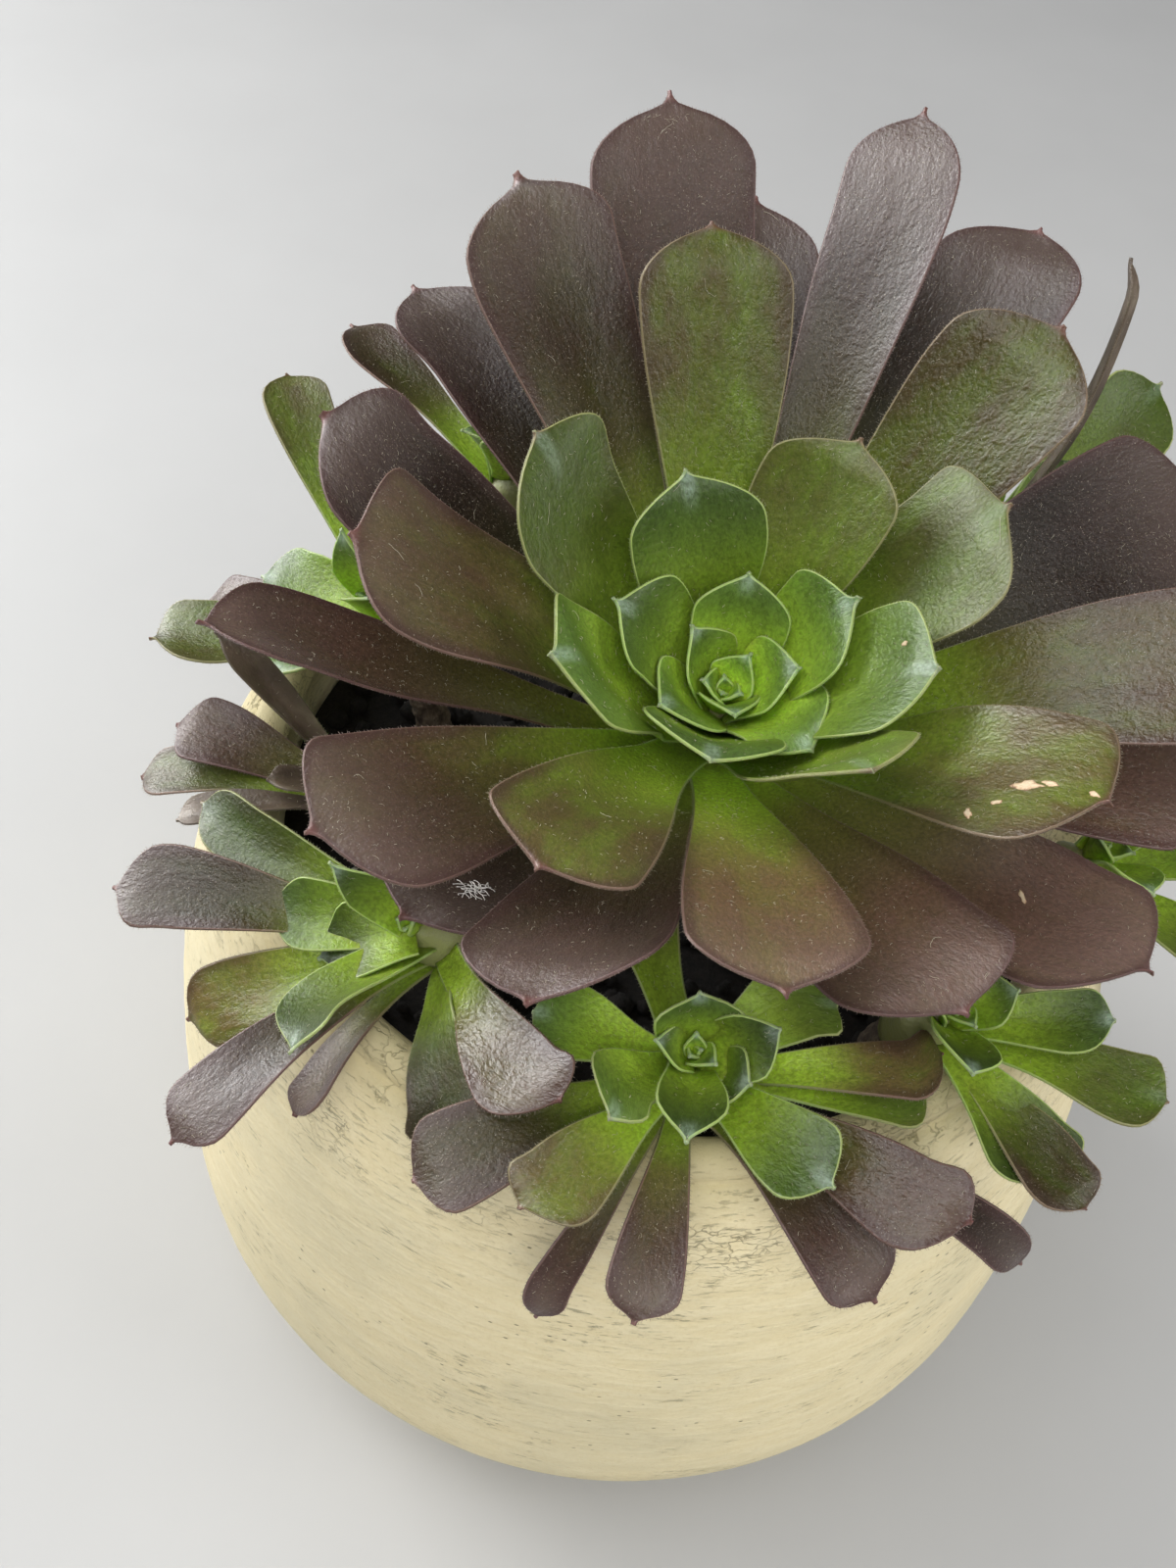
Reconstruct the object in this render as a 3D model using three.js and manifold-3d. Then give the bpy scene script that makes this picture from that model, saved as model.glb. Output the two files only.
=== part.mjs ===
// Potted aeonium: a round cream pot filled with soil, one large rosette and eight smaller ones round
// it, with the last leaves of a withered one.
// Millimetres, +Z up. The origin is the centre of the pot's foot, on the surface that it stands on.
// The front of the plant is towards -Y.

import * as THREE from "three";
import { mergeVertices } from "three/addons/utils/BufferGeometryUtils.js";
import Module from "manifold-3d";

// Pot: driving dimensions.
const POT_RADIUS = 120;
const POT_HEIGHT = 185;
const POT_FOOT_RADIUS = 60;
const POT_BELLY_HEIGHT = 60;
const POT_RIM_RADIUS = 97;
const POT_MOUTH_RADIUS = 88;
const POT_WALL = 9;
const POT_FLOOR = 10;
const POT_LOWER_ROUNDNESS = 1.9;
const POT_UPPER_ROUNDNESS = 1.8;
const POT_LIP = 5;
const LIP_CORNERS = [60, 120];
const POT_LOWER_STEPS = 4;
const POT_UPPER_STEPS = 6;
const POT_SIDES = 32;

// Soil and stems.
const CLEARANCE = 0.3;
const SOIL_GAP = 0.35;
const SOIL_TOP = 168;
const STEM_DEPTH = 26;
const STEM_BEND = 0.8;
const STEM_SIDES = 8;
const STEM_KNEE = 0.55;
const STEM_TOP_TAPER = 0.9;
const HOLE_ABOVE_SOIL = 5;
const INSIDE_HEIGHTS = [SOIL_TOP, 130, 85, 45, POT_FLOOR];
const MERGE_DISTANCE = 1e-4;

// Colours and how matt each surface is.
const POT_LOOK = [0xe6d9b4, 0.85];
const SOIL_LOOK = [0x1d1814, 0.95];
const STEM_LOOK = [0x6b5a45, 0.85];
const LEAF_LOOK = [0x4a5230, 0.45];

// Leaves. A leaf's place in the spiral is its age: 0 is the youngest, in the heart of the rosette.
const GOLDEN_ANGLE = 137.5;
const EDGE_THICKNESS = 0.7;
const YOUNG_ROOT_WIDTH = 0.78;
const OLD_ROOT_WIDTH = 0.34;
const YOUNG_WIDEST = 0.68;
const OLD_WIDEST = 0.87;
const WIDEST_POWER = 0.7;
const YOUNG_CUP = 0.55;
const OLD_CUP = 0.2;
const CUP_FLATTENING = 0.6;
const YOUNG_SHOULDER = 1.1;
const OLD_SHOULDER = 1.5;
const ROLL_REACH = 0.8;
const TIP_THINNING = 0.5;

// The end of a leaf: the mucro's and the sloping edge's share of the length, and how square the corners are.
const YOUNG_END = { mucro: 0.045, slope: 0.15, squareness: 3.1 };
const OLD_END = { mucro: 0.028, slope: 0.045, squareness: 2.8 };
const MUCRO_SHARPNESS = 0.05;
const SLOPE_POWER = 1.25;
const SKEW_REACH = 0.08;
const END_SEARCH_STEPS = 24;
const ROOT_SUNK = 1.4;
const CORE_FOOT = 4;
const CORE_SHOULDER = 0.35;
const CORE_TIP = 0.25;
const LEAST_ROOT_OFFSET = 0.4;
const PATH_STEPS = 24;

// How the large rosette's leaves change with age: length and width, lift at the root and curl to the tip.
const MAIN_GROWTH = {
  age: [0, 5, 10, 15, 20, 25, 30, 35, 40],
  length: [11, 27, 50, 75, 99, 114, 119, 114, 98],
  width: [8, 19, 27, 30, 33, 34, 34, 32, 30],
  lift: [68, 62, 54, 47, 40, 34, 28, 21, 8],
  curl: [10, 8, 2, -6, -14, -20, -22, -18, -14],
  youth: 18,
};

// The same for the small rosettes, whose oldest leaves hang down.
const OFFSET_GROWTH = {
  age: [0, 3, 6, 9, 12, 15, 18],
  length: [9, 19, 29, 40, 52, 60, 62],
  width: [6, 14, 18, 20, 20, 19, 17],
  lift: [66, 54, 40, 24, 4, -16, -26],
  curl: [0, -4, -12, -20, -34, -56, -66],
  youth: 10,
};

// Where along a leaf its sections lie, from root to tip.
const LARGE_SECTIONS = [0, 0.32, 0.62, 0.86, 0.93, 1];
const SMALL_SECTIONS = [0, 0.4, 0.74, 0.91, 1];
const YOUNG_SECTIONS = [0, 0.46, 0.85, 1];
const YOUNG_LENGTH = 41;

// Each rosette: its heart, the way it leans, the direction of its youngest leaf, how many leaves grew,
// which of them are lost, and by how much single leaves depart from the rule. A skewed leaf has its tip
// nearer one of its corners.
const ROSETTES = [
  {
    name: "main", heart: [7, -7, 220], lean: 16.5, toward: -77, firstLeaf: 192, leaves: 41,
    lost: [36], growth: MAIN_GROWTH, sections: LARGE_SECTIONS,
    spacing: 0.8, core: 8.5, stemRadius: 7.2, thickness: 2.2,
    nudges: {
      1: { lift: 8 },
      2: { curl: -7 },
      3: { turn: 6 },
      4: { turn: 3, lift: 6, skew: -0.15 },
      5: { turn: -4, lift: -5, curl: -4 },
      6: { turn: 4, lift: 8, width: 0.95 },
      7: { turn: 7, curl: -12, width: 0.9, skew: -0.45 },
      8: { turn: -3, lift: 2, curl: -5, width: 0.92, skew: 0.2, roll: -6 },
      9: { turn: -6, lift: 10, length: 0.92, width: 0.92, skew: 0.1, roll: -7 },
      10: { lift: 8, roll: 7 },
      11: { lift: 7, length: 0.97, roll: -5 },
      12: { turn: 8, lift: 11, curl: 3, length: 0.94, width: 1.05 },
      13: { lift: 7, curl: 8, length: 0.94, roll: 4 },
      14: { turn: 4, lift: 9, length: 0.92, width: 0.96, roll: -6 },
      15: { turn: 10, lift: 18, curl: 27, length: 0.96 },
      16: { turn: 2, lift: 4, curl: 4, length: 0.9, width: 0.96, skew: -0.3 },
      17: { turn: 16, lift: 8, length: 0.88, skew: 0.2, roll: -10 },
      18: { turn: 2, lift: 4, curl: 5, width: 0.94, roll: 7 },
      19: { turn: 4, lift: 4, length: 1.05, width: 0.95 },
      20: { turn: 9, lift: 10, curl: 5, length: 0.96, roll: -8 },
      21: { turn: -3, lift: 5, curl: 5, length: 0.92, width: 1.08, roll: 10 },
      22: { turn: 5, lift: 8, width: 0.95, skew: -0.1 },
      23: { turn: 7, lift: 11, curl: 9, length: 0.93, width: 0.92 },
      24: { turn: -7, lift: -2, length: 1.06, width: 0.95, skew: -0.2 },
      25: { turn: 11, lift: -2, curl: -3 },
      26: { turn: 2, lift: 4, curl: 6, length: 0.93, skew: -0.12, roll: 7 },
      27: { turn: -1, length: 1.18, width: 0.74, skew: 0.13, roll: -24 },
      28: { turn: -2, lift: 9, curl: 8, length: 0.82, skew: 0.15, roll: 3 },
      29: { turn: -3, lift: 2, length: 0.87, width: 0.9, skew: -0.4, roll: 4 },
      30: { turn: 4, lift: -8, curl: -6, width: 1.1, roll: 10 },
      31: { lift: 16, curl: 18, length: 0.89, skew: -0.17, roll: 30 },
      32: { turn: -6, lift: 8, curl: 3, length: 1.14, width: 1.08, skew: -0.1, roll: 6 },
      33: { turn: -10, lift: 8, curl: 6, length: 0.9, width: 1.12, skew: 0.2, roll: -15 },
      34: { turn: -9, lift: 10, curl: 22, length: 0.98, width: 0.72, skew: 0.2, roll: 28 },
      35: { turn: 5, lift: 2, curl: -8, length: 1.2, width: 1.08, skew: 0.1, roll: -17 },
      37: { turn: -15, curl: -6, length: 1.1, width: 0.83, skew: 0.5 },
      38: { turn: -12, lift: 12, length: 1.04, width: 1.04 },
      39: { turn: 2, lift: 21, curl: 14, length: 0.86, skew: -0.45, roll: 14 },
      40: { turn: -1, lift: 13, curl: -4, length: 1.28, width: 0.9, skew: 0.14 },
    },
  },
  {
    name: "front", heart: [8, -82, 203], lean: 12, toward: -90, firstLeaf: 320, leaves: 22, lost: [17, 20],
    nudges: {
      1: { lift: -4 },
      2: { turn: -32, lift: -12, curl: 6, length: 1.2, width: 1.15, roll: 36 },
      3: { lift: -5, curl: -9, length: 1.4, width: 0.9 },
      4: { turn: -36, lift: 24, length: 0.82, width: 1.1, roll: 7 },
      5: { turn: -20, lift: 11, length: 0.6, width: 0.62, skew: -0.2, roll: 18 },
      6: { lift: 4, length: 0.95, width: 0.82, skew: 0.7, roll: 24 },
      7: { turn: -42, lift: -22, length: 0.84, width: 0.9, skew: -0.4, roll: -10 },
      8: { turn: 16, lift: 4, width: 0.82, roll: 12 },
      9: { turn: 8, lift: -8, length: 0.7, width: 0.84, roll: 9 },
      10: { turn: -25, lift: -20, width: 0.9, skew: 0.4, roll: -24 },
      11: { turn: -16, lift: 10, length: 0.87, width: 0.8, skew: -0.3 },
      12: { lift: -22 },
      13: { turn: -3, lift: 25, curl: 8, length: 1.04, width: 0.85, skew: 0.4, roll: 10 },
      14: { turn: 15, lift: 20, length: 0.95, width: 0.94 },
      15: { turn: -53, lift: 24, length: 0.81, width: 0.74, skew: 0.9, roll: -20 },
      16: { turn: -16, lift: 35, length: 0.8, width: 0.72, roll: -6 },
      18: { turn: -23, lift: 11, curl: -5, length: 1.3, width: 0.57, skew: -0.2, roll: 30 },
      19: { turn: 16, lift: 12, curl: -16, length: 0.87, width: 0.5, skew: 0.4, roll: -28 },
      21: { turn: 2, lift: 41, length: 0.88, width: 0.94 },
    },
  },
  {
    name: "left", heart: [-48, -60, 200], lean: 34, toward: 222, firstLeaf: 230, leaves: 19,
    lost: [2, 4, 7, 9, 12, 14, 16, 17],
    nudges: {
      0: { turn: -32, lift: -50, curl: -12, length: 2.3, width: 2.6 },
      1: { turn: 34, length: 1.9, skew: 0.3 },
      3: { turn: -4, lift: -30, curl: -8, length: 1.6, skew: -0.1, roll: -6 },
      5: { turn: -24, lift: 2, curl: 6, length: 1.5, skew: 0.5, roll: 30 },
      6: { turn: 28, lift: -24, curl: -13, length: 1.9, width: 0.7, skew: -0.3 },
      8: { turn: -9, lift: -14, curl: -9, length: 1.36, width: 0.86, roll: -16 },
      10: { turn: 17, lift: 4, length: 1.1, width: 0.86, skew: 0.4, roll: -8 },
      11: { turn: 15, lift: 20, curl: 5, length: 1.3, width: 0.86, skew: 0.2, roll: 7 },
      13: { turn: -13, lift: 36, length: 1.16, width: 0.76 },
      15: { turn: -40, lift: 36, length: 0.7, width: 0.84, skew: -0.6, roll: 8 },
      18: { turn: -36, lift: 48, length: 0.73, width: 0.6, skew: -0.5, roll: 24 },
    },
  },
  {
    name: "left_upper", heart: [-68, 19, 205], lean: 20, toward: 165, firstLeaf: 200, leaves: 16,
    lost: [9, 10, 12, 13, 15],
    nudges: {
      1: { turn: -3, lift: 38, length: 2.1, width: 1.25, skew: 0.15, roll: 10 },
      2: { length: 1.3, width: 1.2 },
      3: { turn: 19, lift: -37, curl: 6, length: 1.75, width: 1.45, skew: -0.4, roll: -10 },
      5: { turn: 6, lift: -18, length: 1.3 },
      6: { turn: -8, lift: 6, length: 1.2 },
      8: { turn: 18, lift: -7, curl: 5, length: 1.4, skew: -0.3, roll: -7 },
      11: { turn: 37, lift: -2, length: 1.05, width: 0.84, skew: -0.2 },
      14: { turn: 41, lift: 53, length: 1.25, width: 0.8, skew: -0.2, roll: 16 },
    },
  },
  {
    name: "withered", heart: [-66, -20, 191.5], lean: 20, toward: 188, firstLeaf: 172, leaves: 14,
    lost: [0, 1, 2, 3, 4, 5, 6, 7, 12], core: 5,
    nudges: {
      8: { turn: -2, lift: 40, length: 1.4, width: 0.36, curl: 8, fold: 3 },
      9: { turn: -175, lift: 31, length: 0.61, width: 0.36, curl: -10, fold: 2.5 },
      10: { turn: -38, lift: 10, length: 0.94, width: 0.4, curl: -14, fold: 2.5 },
      11: { turn: 67, lift: 23, length: 0.96, width: 0.83, curl: -2 },
      13: { turn: -4, lift: 28, length: 0.97, width: 0.65, curl: -14 },
    },
  },
  {
    name: "right", heart: [57.5, -63, 199.5], lean: 20, toward: -46, firstLeaf: 300, leaves: 18,
    lost: [4, 6, 7, 9, 11, 12, 14, 15, 16],
    nudges: {
      3: { turn: 14, length: 1.1, skew: 0.2 },
      5: { turn: 29, lift: -14, curl: -3, length: 1.24, width: 0.76, skew: 0.3 },
      8: { turn: 26, lift: -9, curl: 5, length: 0.95, width: 0.92, skew: 0.3, roll: 9 },
      10: { turn: -21, lift: 11, curl: 6, width: 0.8, skew: 0.15, roll: -8 },
      13: { turn: -5, lift: 27, length: 0.8, width: 0.76, skew: 0.25 },
    },
  },
  {
    name: "far_right", heart: [89, -22, 203], lean: 25, toward: -10, firstLeaf: 340, leaves: 15,
    lost: [4, 6, 7, 9, 11, 12, 14], nudges: {},
  },
  {
    name: "back_right", heart: [72, 62, 212], lean: 22, toward: 42, firstLeaf: 20, leaves: 16,
    lost: [9, 11, 13, 14, 15],
    nudges: {
      2: { turn: -50, lift: -4, length: 1.9, width: 0.84 },
      5: { turn: -7, lift: 7, curl: -6, length: 2.3, width: 1.34, skew: 0.1, roll: 28 },
      7: { turn: -16, lift: 3, curl: -5, length: 1.9, width: 0.9, skew: -0.5 },
      10: { turn: 22, lift: 33, curl: -4, length: 1.7, width: 0.78, skew: 0.2, roll: -16 },
      12: { turn: -20, lift: 84, curl: 4, length: 1.54, width: 0.44, fold: 3 },
    },
  },
  {
    name: "back_left", heart: [-48, 74, 206], lean: 20, toward: 125, firstLeaf: 120, leaves: 15,
    lost: [7, 9, 11, 12, 13],
    nudges: {
      3: { turn: 31, lift: 7, length: 1.5, width: 0.92, skew: 0.2 },
      5: { turn: -16, lift: 46, length: 1.36, width: 1.08, skew: -0.25, roll: -12 },
      8: { turn: 41, curl: 8, length: 1.8, width: 0.92, skew: -0.5, roll: 8 },
    },
  },
  {
    name: "back", heart: [18, 88, 210], lean: 20, toward: 80, firstLeaf: 60, leaves: 15,
    lost: [7, 9, 11, 12, 13],
    nudges: {
      4: { lift: 10, length: 1.3 },
      6: { lift: 12, length: 1.4 },
    },
  },
];
const OFFSET_DEFAULTS = {
  growth: OFFSET_GROWTH, sections: SMALL_SECTIONS, spacing: 0.8, core: 6, stemRadius: 4.5, thickness: 1.7,
};

const wasm = await Module();
wasm.setup();

const radians = THREE.MathUtils.degToRad;
const { lerp, clamp } = THREE.MathUtils;
const smooth = (share) => THREE.MathUtils.smoothstep(share, 0, 1);

// The value at age of a row of a growth table, on straight lines between its ages.
function grown(growth, row, age) {
  const ages = growth.age;
  let i = 1;
  while (i < ages.length - 1 && ages[i] < age) i += 1;
  const share = clamp((age - ages[i - 1]) / (ages[i] - ages[i - 1]), 0, 1);
  return lerp(growth[row][i - 1], growth[row][i], share);
}

// A closed solid from rings that follow one another. All rings are split alike, and the end rings too,
// so that the two faces of a thin blade have the same triangles.
function ringSolid(rings) {
  const count = rings[0].length;
  const last = (rings.length - 1) * count;
  const triangles = [];
  for (let start = 0; start < last; start += count) {
    for (let side = 0; side < count; side += 1) {
      const a = start + side;
      const b = start + ((side + 1) % count);
      triangles.push([a, b, b + count], [a, b + count, a + count]);
    }
  }
  for (let low = 0; low < count / 2 - 1; low += 1) {
    const high = count - 1 - low;
    triangles.push([low, high - 1, low + 1], [low, high, high - 1]);
    triangles.push([last + low, last + low + 1, last + high - 1], [last + low, last + high - 1, last + high]);
  }
  const geometry = new THREE.BufferGeometry();
  const positions = rings.flat().flatMap((point) => point.toArray());
  geometry.setAttribute("position", new THREE.Float32BufferAttribute(positions, 3));
  geometry.setIndex(triangles.flat());
  return solidOf(geometry);
}

// The manifold solid of a closed geometry.
function solidOf(geometry) {
  geometry.deleteAttribute("normal");
  geometry.deleteAttribute("uv");
  const merged = mergeVertices(geometry, MERGE_DISTANCE);
  return new wasm.Manifold(new wasm.Mesh({
    numProp: 3,
    vertProperties: new Float32Array(merged.attributes.position.array),
    triVerts: new Uint32Array(merged.index.array),
  }));
}

// A named mesh of a manifold solid.
function meshOf(name, solid, [color, roughness]) {
  const result = solid.getMesh();
  const geometry = new THREE.BufferGeometry();
  geometry.setAttribute("position", new THREE.BufferAttribute(new Float32Array(result.vertProperties), 3));
  geometry.setIndex(new THREE.BufferAttribute(new Uint32Array(result.triVerts), 1));
  geometry.computeVertexNormals();
  const mesh = new THREE.Mesh(geometry, new THREE.MeshStandardMaterial({ color, roughness, metalness: 0 }));
  mesh.name = name;
  return mesh;
}

// The heart of a rosette, its axis and the two directions square to it, for a lean towards a direction.
function rosetteFrame({ heart, lean, toward }) {
  const hinge = new THREE.Vector3(-Math.sin(radians(toward)), Math.cos(radians(toward)), 0);
  const turned = (x, y, z) => new THREE.Vector3(x, y, z).applyAxisAngle(hinge, radians(lean));
  const axis = turned(0, 0, 1);
  return { heart: new THREE.Vector3(...heart), axis, east: turned(1, 0, 0), north: turned(0, 1, 0) };
}

// How far along a leaf its end reaches, at a share of half its width, between its mucro and its corners.
function endReach(across, widest, youngness) {
  const ofAge = (key) => lerp(OLD_END[key], YOUNG_END[key], youngness);
  const [mucro, slope, squareness] = [ofAge("mucro"), ofAge("slope"), ofAge("squareness")];
  const corner = 1 - (1 - across ** squareness) ** (1 / squareness);
  const edge = 1 - mucro * (1 - Math.exp(-across / MUCRO_SHARPNESS)) - slope * across ** SLOPE_POWER;
  return edge - (1 - mucro - slope - widest) * corner;
}

// Where along a leaf it is widest.
const widestAt = (youngness) => lerp(OLD_WIDEST, YOUNG_WIDEST, youngness ** WIDEST_POWER);

// Half the width of a leaf at t along it, as a share of half its greatest width.
function widthShare(t, youngness) {
  const root = lerp(OLD_ROOT_WIDTH, YOUNG_ROOT_WIDTH, youngness);
  const widest = widestAt(youngness);
  if (t < widest) return lerp(root, 1, smooth(t / widest) ** lerp(OLD_SHOULDER, YOUNG_SHOULDER, youngness));
  let [inner, outer] = [0, 1];
  for (let step = 0; step < END_SEARCH_STEPS; step += 1) {
    const middle = (inner + outer) / 2;
    if (endReach(middle, widest, youngness) > t) inner = middle;
    else outer = middle;
  }
  return inner;
}

// The leaves of a rosette by the spiral rule, each with its own length, width, lift, curl and roll.
function leavesOf(rosette) {
  const list = [];
  for (let age = 0; age < rosette.leaves; age += 1) {
    if (rosette.lost.includes(age)) continue;
    const own = rosette.nudges[age] ?? {};
    const curl = grown(rosette.growth, "curl", age) + (own.curl ?? 0);
    list.push({
      age,
      azimuth: rosette.firstLeaf - GOLDEN_ANGLE * age + (own.turn ?? 0),
      length: grown(rosette.growth, "length", age) * (own.length ?? 1),
      width: grown(rosette.growth, "width", age) * (own.width ?? 1),
      lift: grown(rosette.growth, "lift", age) + (own.lift ?? 0) - curl / 2,
      curl,
      roll: own.roll ?? 0,
      fold: own.fold ?? 1,
      skew: own.skew ?? 0,
      drop: rosette.spacing * age,
      youngness: 1 - clamp(age / rosette.growth.youth, 0, 1),
    });
  }
  return list;
}

// One leaf: a thin spoon-shaped blade that follows an arc out of the rosette's axis.
function leafSolid(rosette, frame, leaf) {
  const { axis, east, north, heart } = frame;
  const azimuth = radians(leaf.azimuth);
  const outward = east.clone().multiplyScalar(Math.cos(azimuth)).addScaledVector(north, Math.sin(azimuth));
  const across = new THREE.Vector3().crossVectors(axis, outward);
  const directionAt = (t) => {
    const climb = radians(leaf.lift + leaf.curl * t);
    return outward.clone().multiplyScalar(Math.cos(climb)).addScaledVector(axis, Math.sin(climb));
  };
  const rootOffset = Math.max(coreRadius(rosette, leaf.drop) - ROOT_SUNK, LEAST_ROOT_OFFSET);
  const root = heart.clone().addScaledVector(outward, rootOffset).addScaledVector(axis, -leaf.drop);
  const path = [root];
  for (let step = 0; step < PATH_STEPS; step += 1) {
    const middle = directionAt((step + 0.5) / PATH_STEPS);
    path.push(path[step].clone().addScaledVector(middle, leaf.length / PATH_STEPS));
  }
  const pointAt = (t) => {
    const step = Math.min(Math.floor(t * PATH_STEPS), PATH_STEPS - 1);
    return path[step].clone().lerp(path[step + 1], t * PATH_STEPS - step);
  };
  const sections = leaf.length < YOUNG_LENGTH ? YOUNG_SECTIONS : rosette.sections;
  const rings = sections.map((t) => {
    const forward = directionAt(t);
    const roll = radians(leaf.roll) * smooth(t / ROLL_REACH);
    const side = across.clone().applyAxisAngle(forward, roll);
    const up = new THREE.Vector3().crossVectors(forward, side);
    const half = Math.max((leaf.width / 2) * widthShare(t, leaf.youngness), EDGE_THICKNESS / 2);
    const flattening = 1 - CUP_FLATTENING * smooth(2 * t - 1);
    const cup = leaf.fold * lerp(OLD_CUP, YOUNG_CUP, leaf.youngness) * flattening;
    const skewStart = widestAt(leaf.youngness) - SKEW_REACH;
    const aside = leaf.skew * (leaf.width / 2) * smooth((t - skewStart) / (1 - skewStart));
    const middle = pointAt(t).addScaledVector(side, aside);
    const edge = (sign) => middle.clone().addScaledVector(side, sign * half).addScaledVector(up, cup * half);
    const raised = (point, height) => point.clone().addScaledVector(up, height);
    const belly = Math.max(rosette.thickness * (1 - TIP_THINNING * t), EDGE_THICKNESS) / 2;
    const rim = EDGE_THICKNESS / 2;
    return [
      raised(edge(-1), -rim), raised(middle, -belly), raised(edge(1), -rim),
      raised(edge(1), rim), raised(middle, belly), raised(edge(-1), rim),
    ];
  });
  return ringSolid(rings);
}

// A ring of a round stem or core about a direction.
function roundRing(centre, direction, radius) {
  const side = new THREE.Vector3(1, 0, 0).addScaledVector(direction, -direction.x).normalize();
  const other = new THREE.Vector3().crossVectors(direction, side);
  return Array.from({ length: STEM_SIDES }, (_, i) => {
    const angle = (2 * Math.PI * i) / STEM_SIDES;
    return centre.clone().addScaledVector(side, radius * Math.cos(angle))
      .addScaledVector(other, radius * Math.sin(angle));
  });
}

// The foot of a rosette's core, where its stem ends.
const coreDepth = (rosette) => rosette.spacing * (rosette.leaves - 1) + CORE_FOOT;

// The core is a blunt cone: narrow at the heart, and of full width from a third of its depth.
function coreRadius(rosette, below) {
  return rosette.core * lerp(CORE_TIP, 1, clamp(below / (coreDepth(rosette) * CORE_SHOULDER), 0, 1));
}

function rosetteSolid(rosette) {
  const frame = rosetteFrame(rosette);
  const depth = coreDepth(rosette);
  const core = [depth, depth * CORE_SHOULDER, 0].map((below) => {
    const centre = frame.heart.clone().addScaledVector(frame.axis, -below);
    return roundRing(centre, frame.axis, coreRadius(rosette, below));
  });
  const leaves = leavesOf(rosette).map((leaf) => leafSolid(rosette, frame, leaf));
  return outerBody(wasm.Manifold.union([ringSolid(core), ...leaves]));
}

// The one outer body of a fused solid: the small hollows that the leaves seal between them are filled.
function outerBody(solid) {
  const bodies = solid.decompose();
  return bodies.reduce((largest, body) => (body.volume() > largest.volume() ? body : largest));
}

// A stem stands upright in the soil and bends to meet the foot of its rosette.
function stemPath(rosette) {
  const { heart, axis } = rosetteFrame(rosette);
  const top = heart.clone().addScaledVector(axis, -coreDepth(rosette) - CLEARANCE);
  const reach = (top.z - SOIL_TOP) * STEM_BEND;
  const foot = top.clone().addScaledVector(axis, -reach);
  return { top, axis, foot: new THREE.Vector3(foot.x, foot.y, SOIL_TOP) };
}

function stemSolid(rosette) {
  const { top, axis, foot } = stemPath(rosette);
  const upright = new THREE.Vector3(0, 0, 1);
  const below = foot.clone().setZ(SOIL_TOP - STEM_DEPTH);
  const ground = foot.clone().setZ(SOIL_TOP + 1);
  const control = foot.clone().setZ(lerp(SOIL_TOP, top.z, 0.5));
  const bend = new THREE.QuadraticBezierCurve3(ground, control, top);
  return ringSolid([
    roundRing(below, upright, rosette.stemRadius),
    roundRing(ground, upright, rosette.stemRadius),
    roundRing(bend.getPoint(STEM_KNEE), bend.getTangent(STEM_KNEE), rosette.stemRadius),
    roundRing(top, axis, rosette.stemRadius * STEM_TOP_TAPER),
  ]);
}

// The pot's outside, from the foot to the rim: two rounded quarters that meet at the belly.
function potOutside() {
  const points = [];
  for (let i = 0; i <= POT_LOWER_STEPS; i += 1) {
    const turn = (Math.PI / 2) * (i / POT_LOWER_STEPS);
    const out = Math.sin(turn) ** (2 / POT_LOWER_ROUNDNESS);
    const down = Math.cos(turn) ** (2 / POT_LOWER_ROUNDNESS);
    points.push(new THREE.Vector2(lerp(POT_FOOT_RADIUS, POT_RADIUS, out), POT_BELLY_HEIGHT * (1 - down)));
  }
  for (let i = 1; i <= POT_UPPER_STEPS; i += 1) {
    const turn = (Math.PI / 2) * (i / POT_UPPER_STEPS);
    const out = Math.max(Math.cos(turn), 0) ** (2 / POT_UPPER_ROUNDNESS);
    const rise = Math.sin(turn) ** (2 / POT_UPPER_ROUNDNESS);
    const height = lerp(POT_BELLY_HEIGHT, POT_HEIGHT - POT_LIP, rise);
    points.push(new THREE.Vector2(lerp(POT_RIM_RADIUS, POT_RADIUS, out), height));
  }
  return points;
}

// The pot's radius outside at a height.
function potRadiusAt(height) {
  const points = potOutside();
  const above = points.findIndex((point) => point.y >= height && point.y > 0);
  if (above < 1) return points.at(-1).x;
  const share = (height - points[above - 1].y) / (points[above].y - points[above - 1].y);
  return lerp(points[above - 1].x, points[above].x, share);
}

// The radius inside at a height: a wall's thickness in from the outside, at the soil no wider than the mouth.
function insideRadius(height) {
  const radius = potRadiusAt(height) - POT_WALL;
  return height < SOIL_TOP ? radius : Math.min(radius, POT_MOUTH_RADIUS);
}

function potSolid() {
  const outside = potOutside();
  const lipRadius = (POT_RIM_RADIUS - POT_MOUTH_RADIUS) / 2;
  const lip = LIP_CORNERS.map((angle) => new THREE.Vector2(
    (POT_RIM_RADIUS + POT_MOUTH_RADIUS) / 2 + lipRadius * Math.cos(radians(angle)),
    POT_HEIGHT,
  ));
  const inside = [new THREE.Vector2(POT_MOUTH_RADIUS, POT_HEIGHT - POT_LIP)];
  INSIDE_HEIGHTS.forEach((height) => inside.push(new THREE.Vector2(insideRadius(height), height)));
  const profile = [new THREE.Vector2(0, 0), ...outside, ...lip, ...inside, new THREE.Vector2(0, POT_FLOOR)];
  return lathed(profile);
}

function soilSolid() {
  const wall = [...INSIDE_HEIGHTS].reverse().map((height, i) => {
    return new THREE.Vector2(insideRadius(height) - SOIL_GAP, height + (i === 0 ? CLEARANCE : 0));
  });
  const top = new THREE.Vector2(0, SOIL_TOP);
  return lathed([new THREE.Vector2(0, POT_FLOOR + CLEARANCE), ...wall, top]);
}

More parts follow.
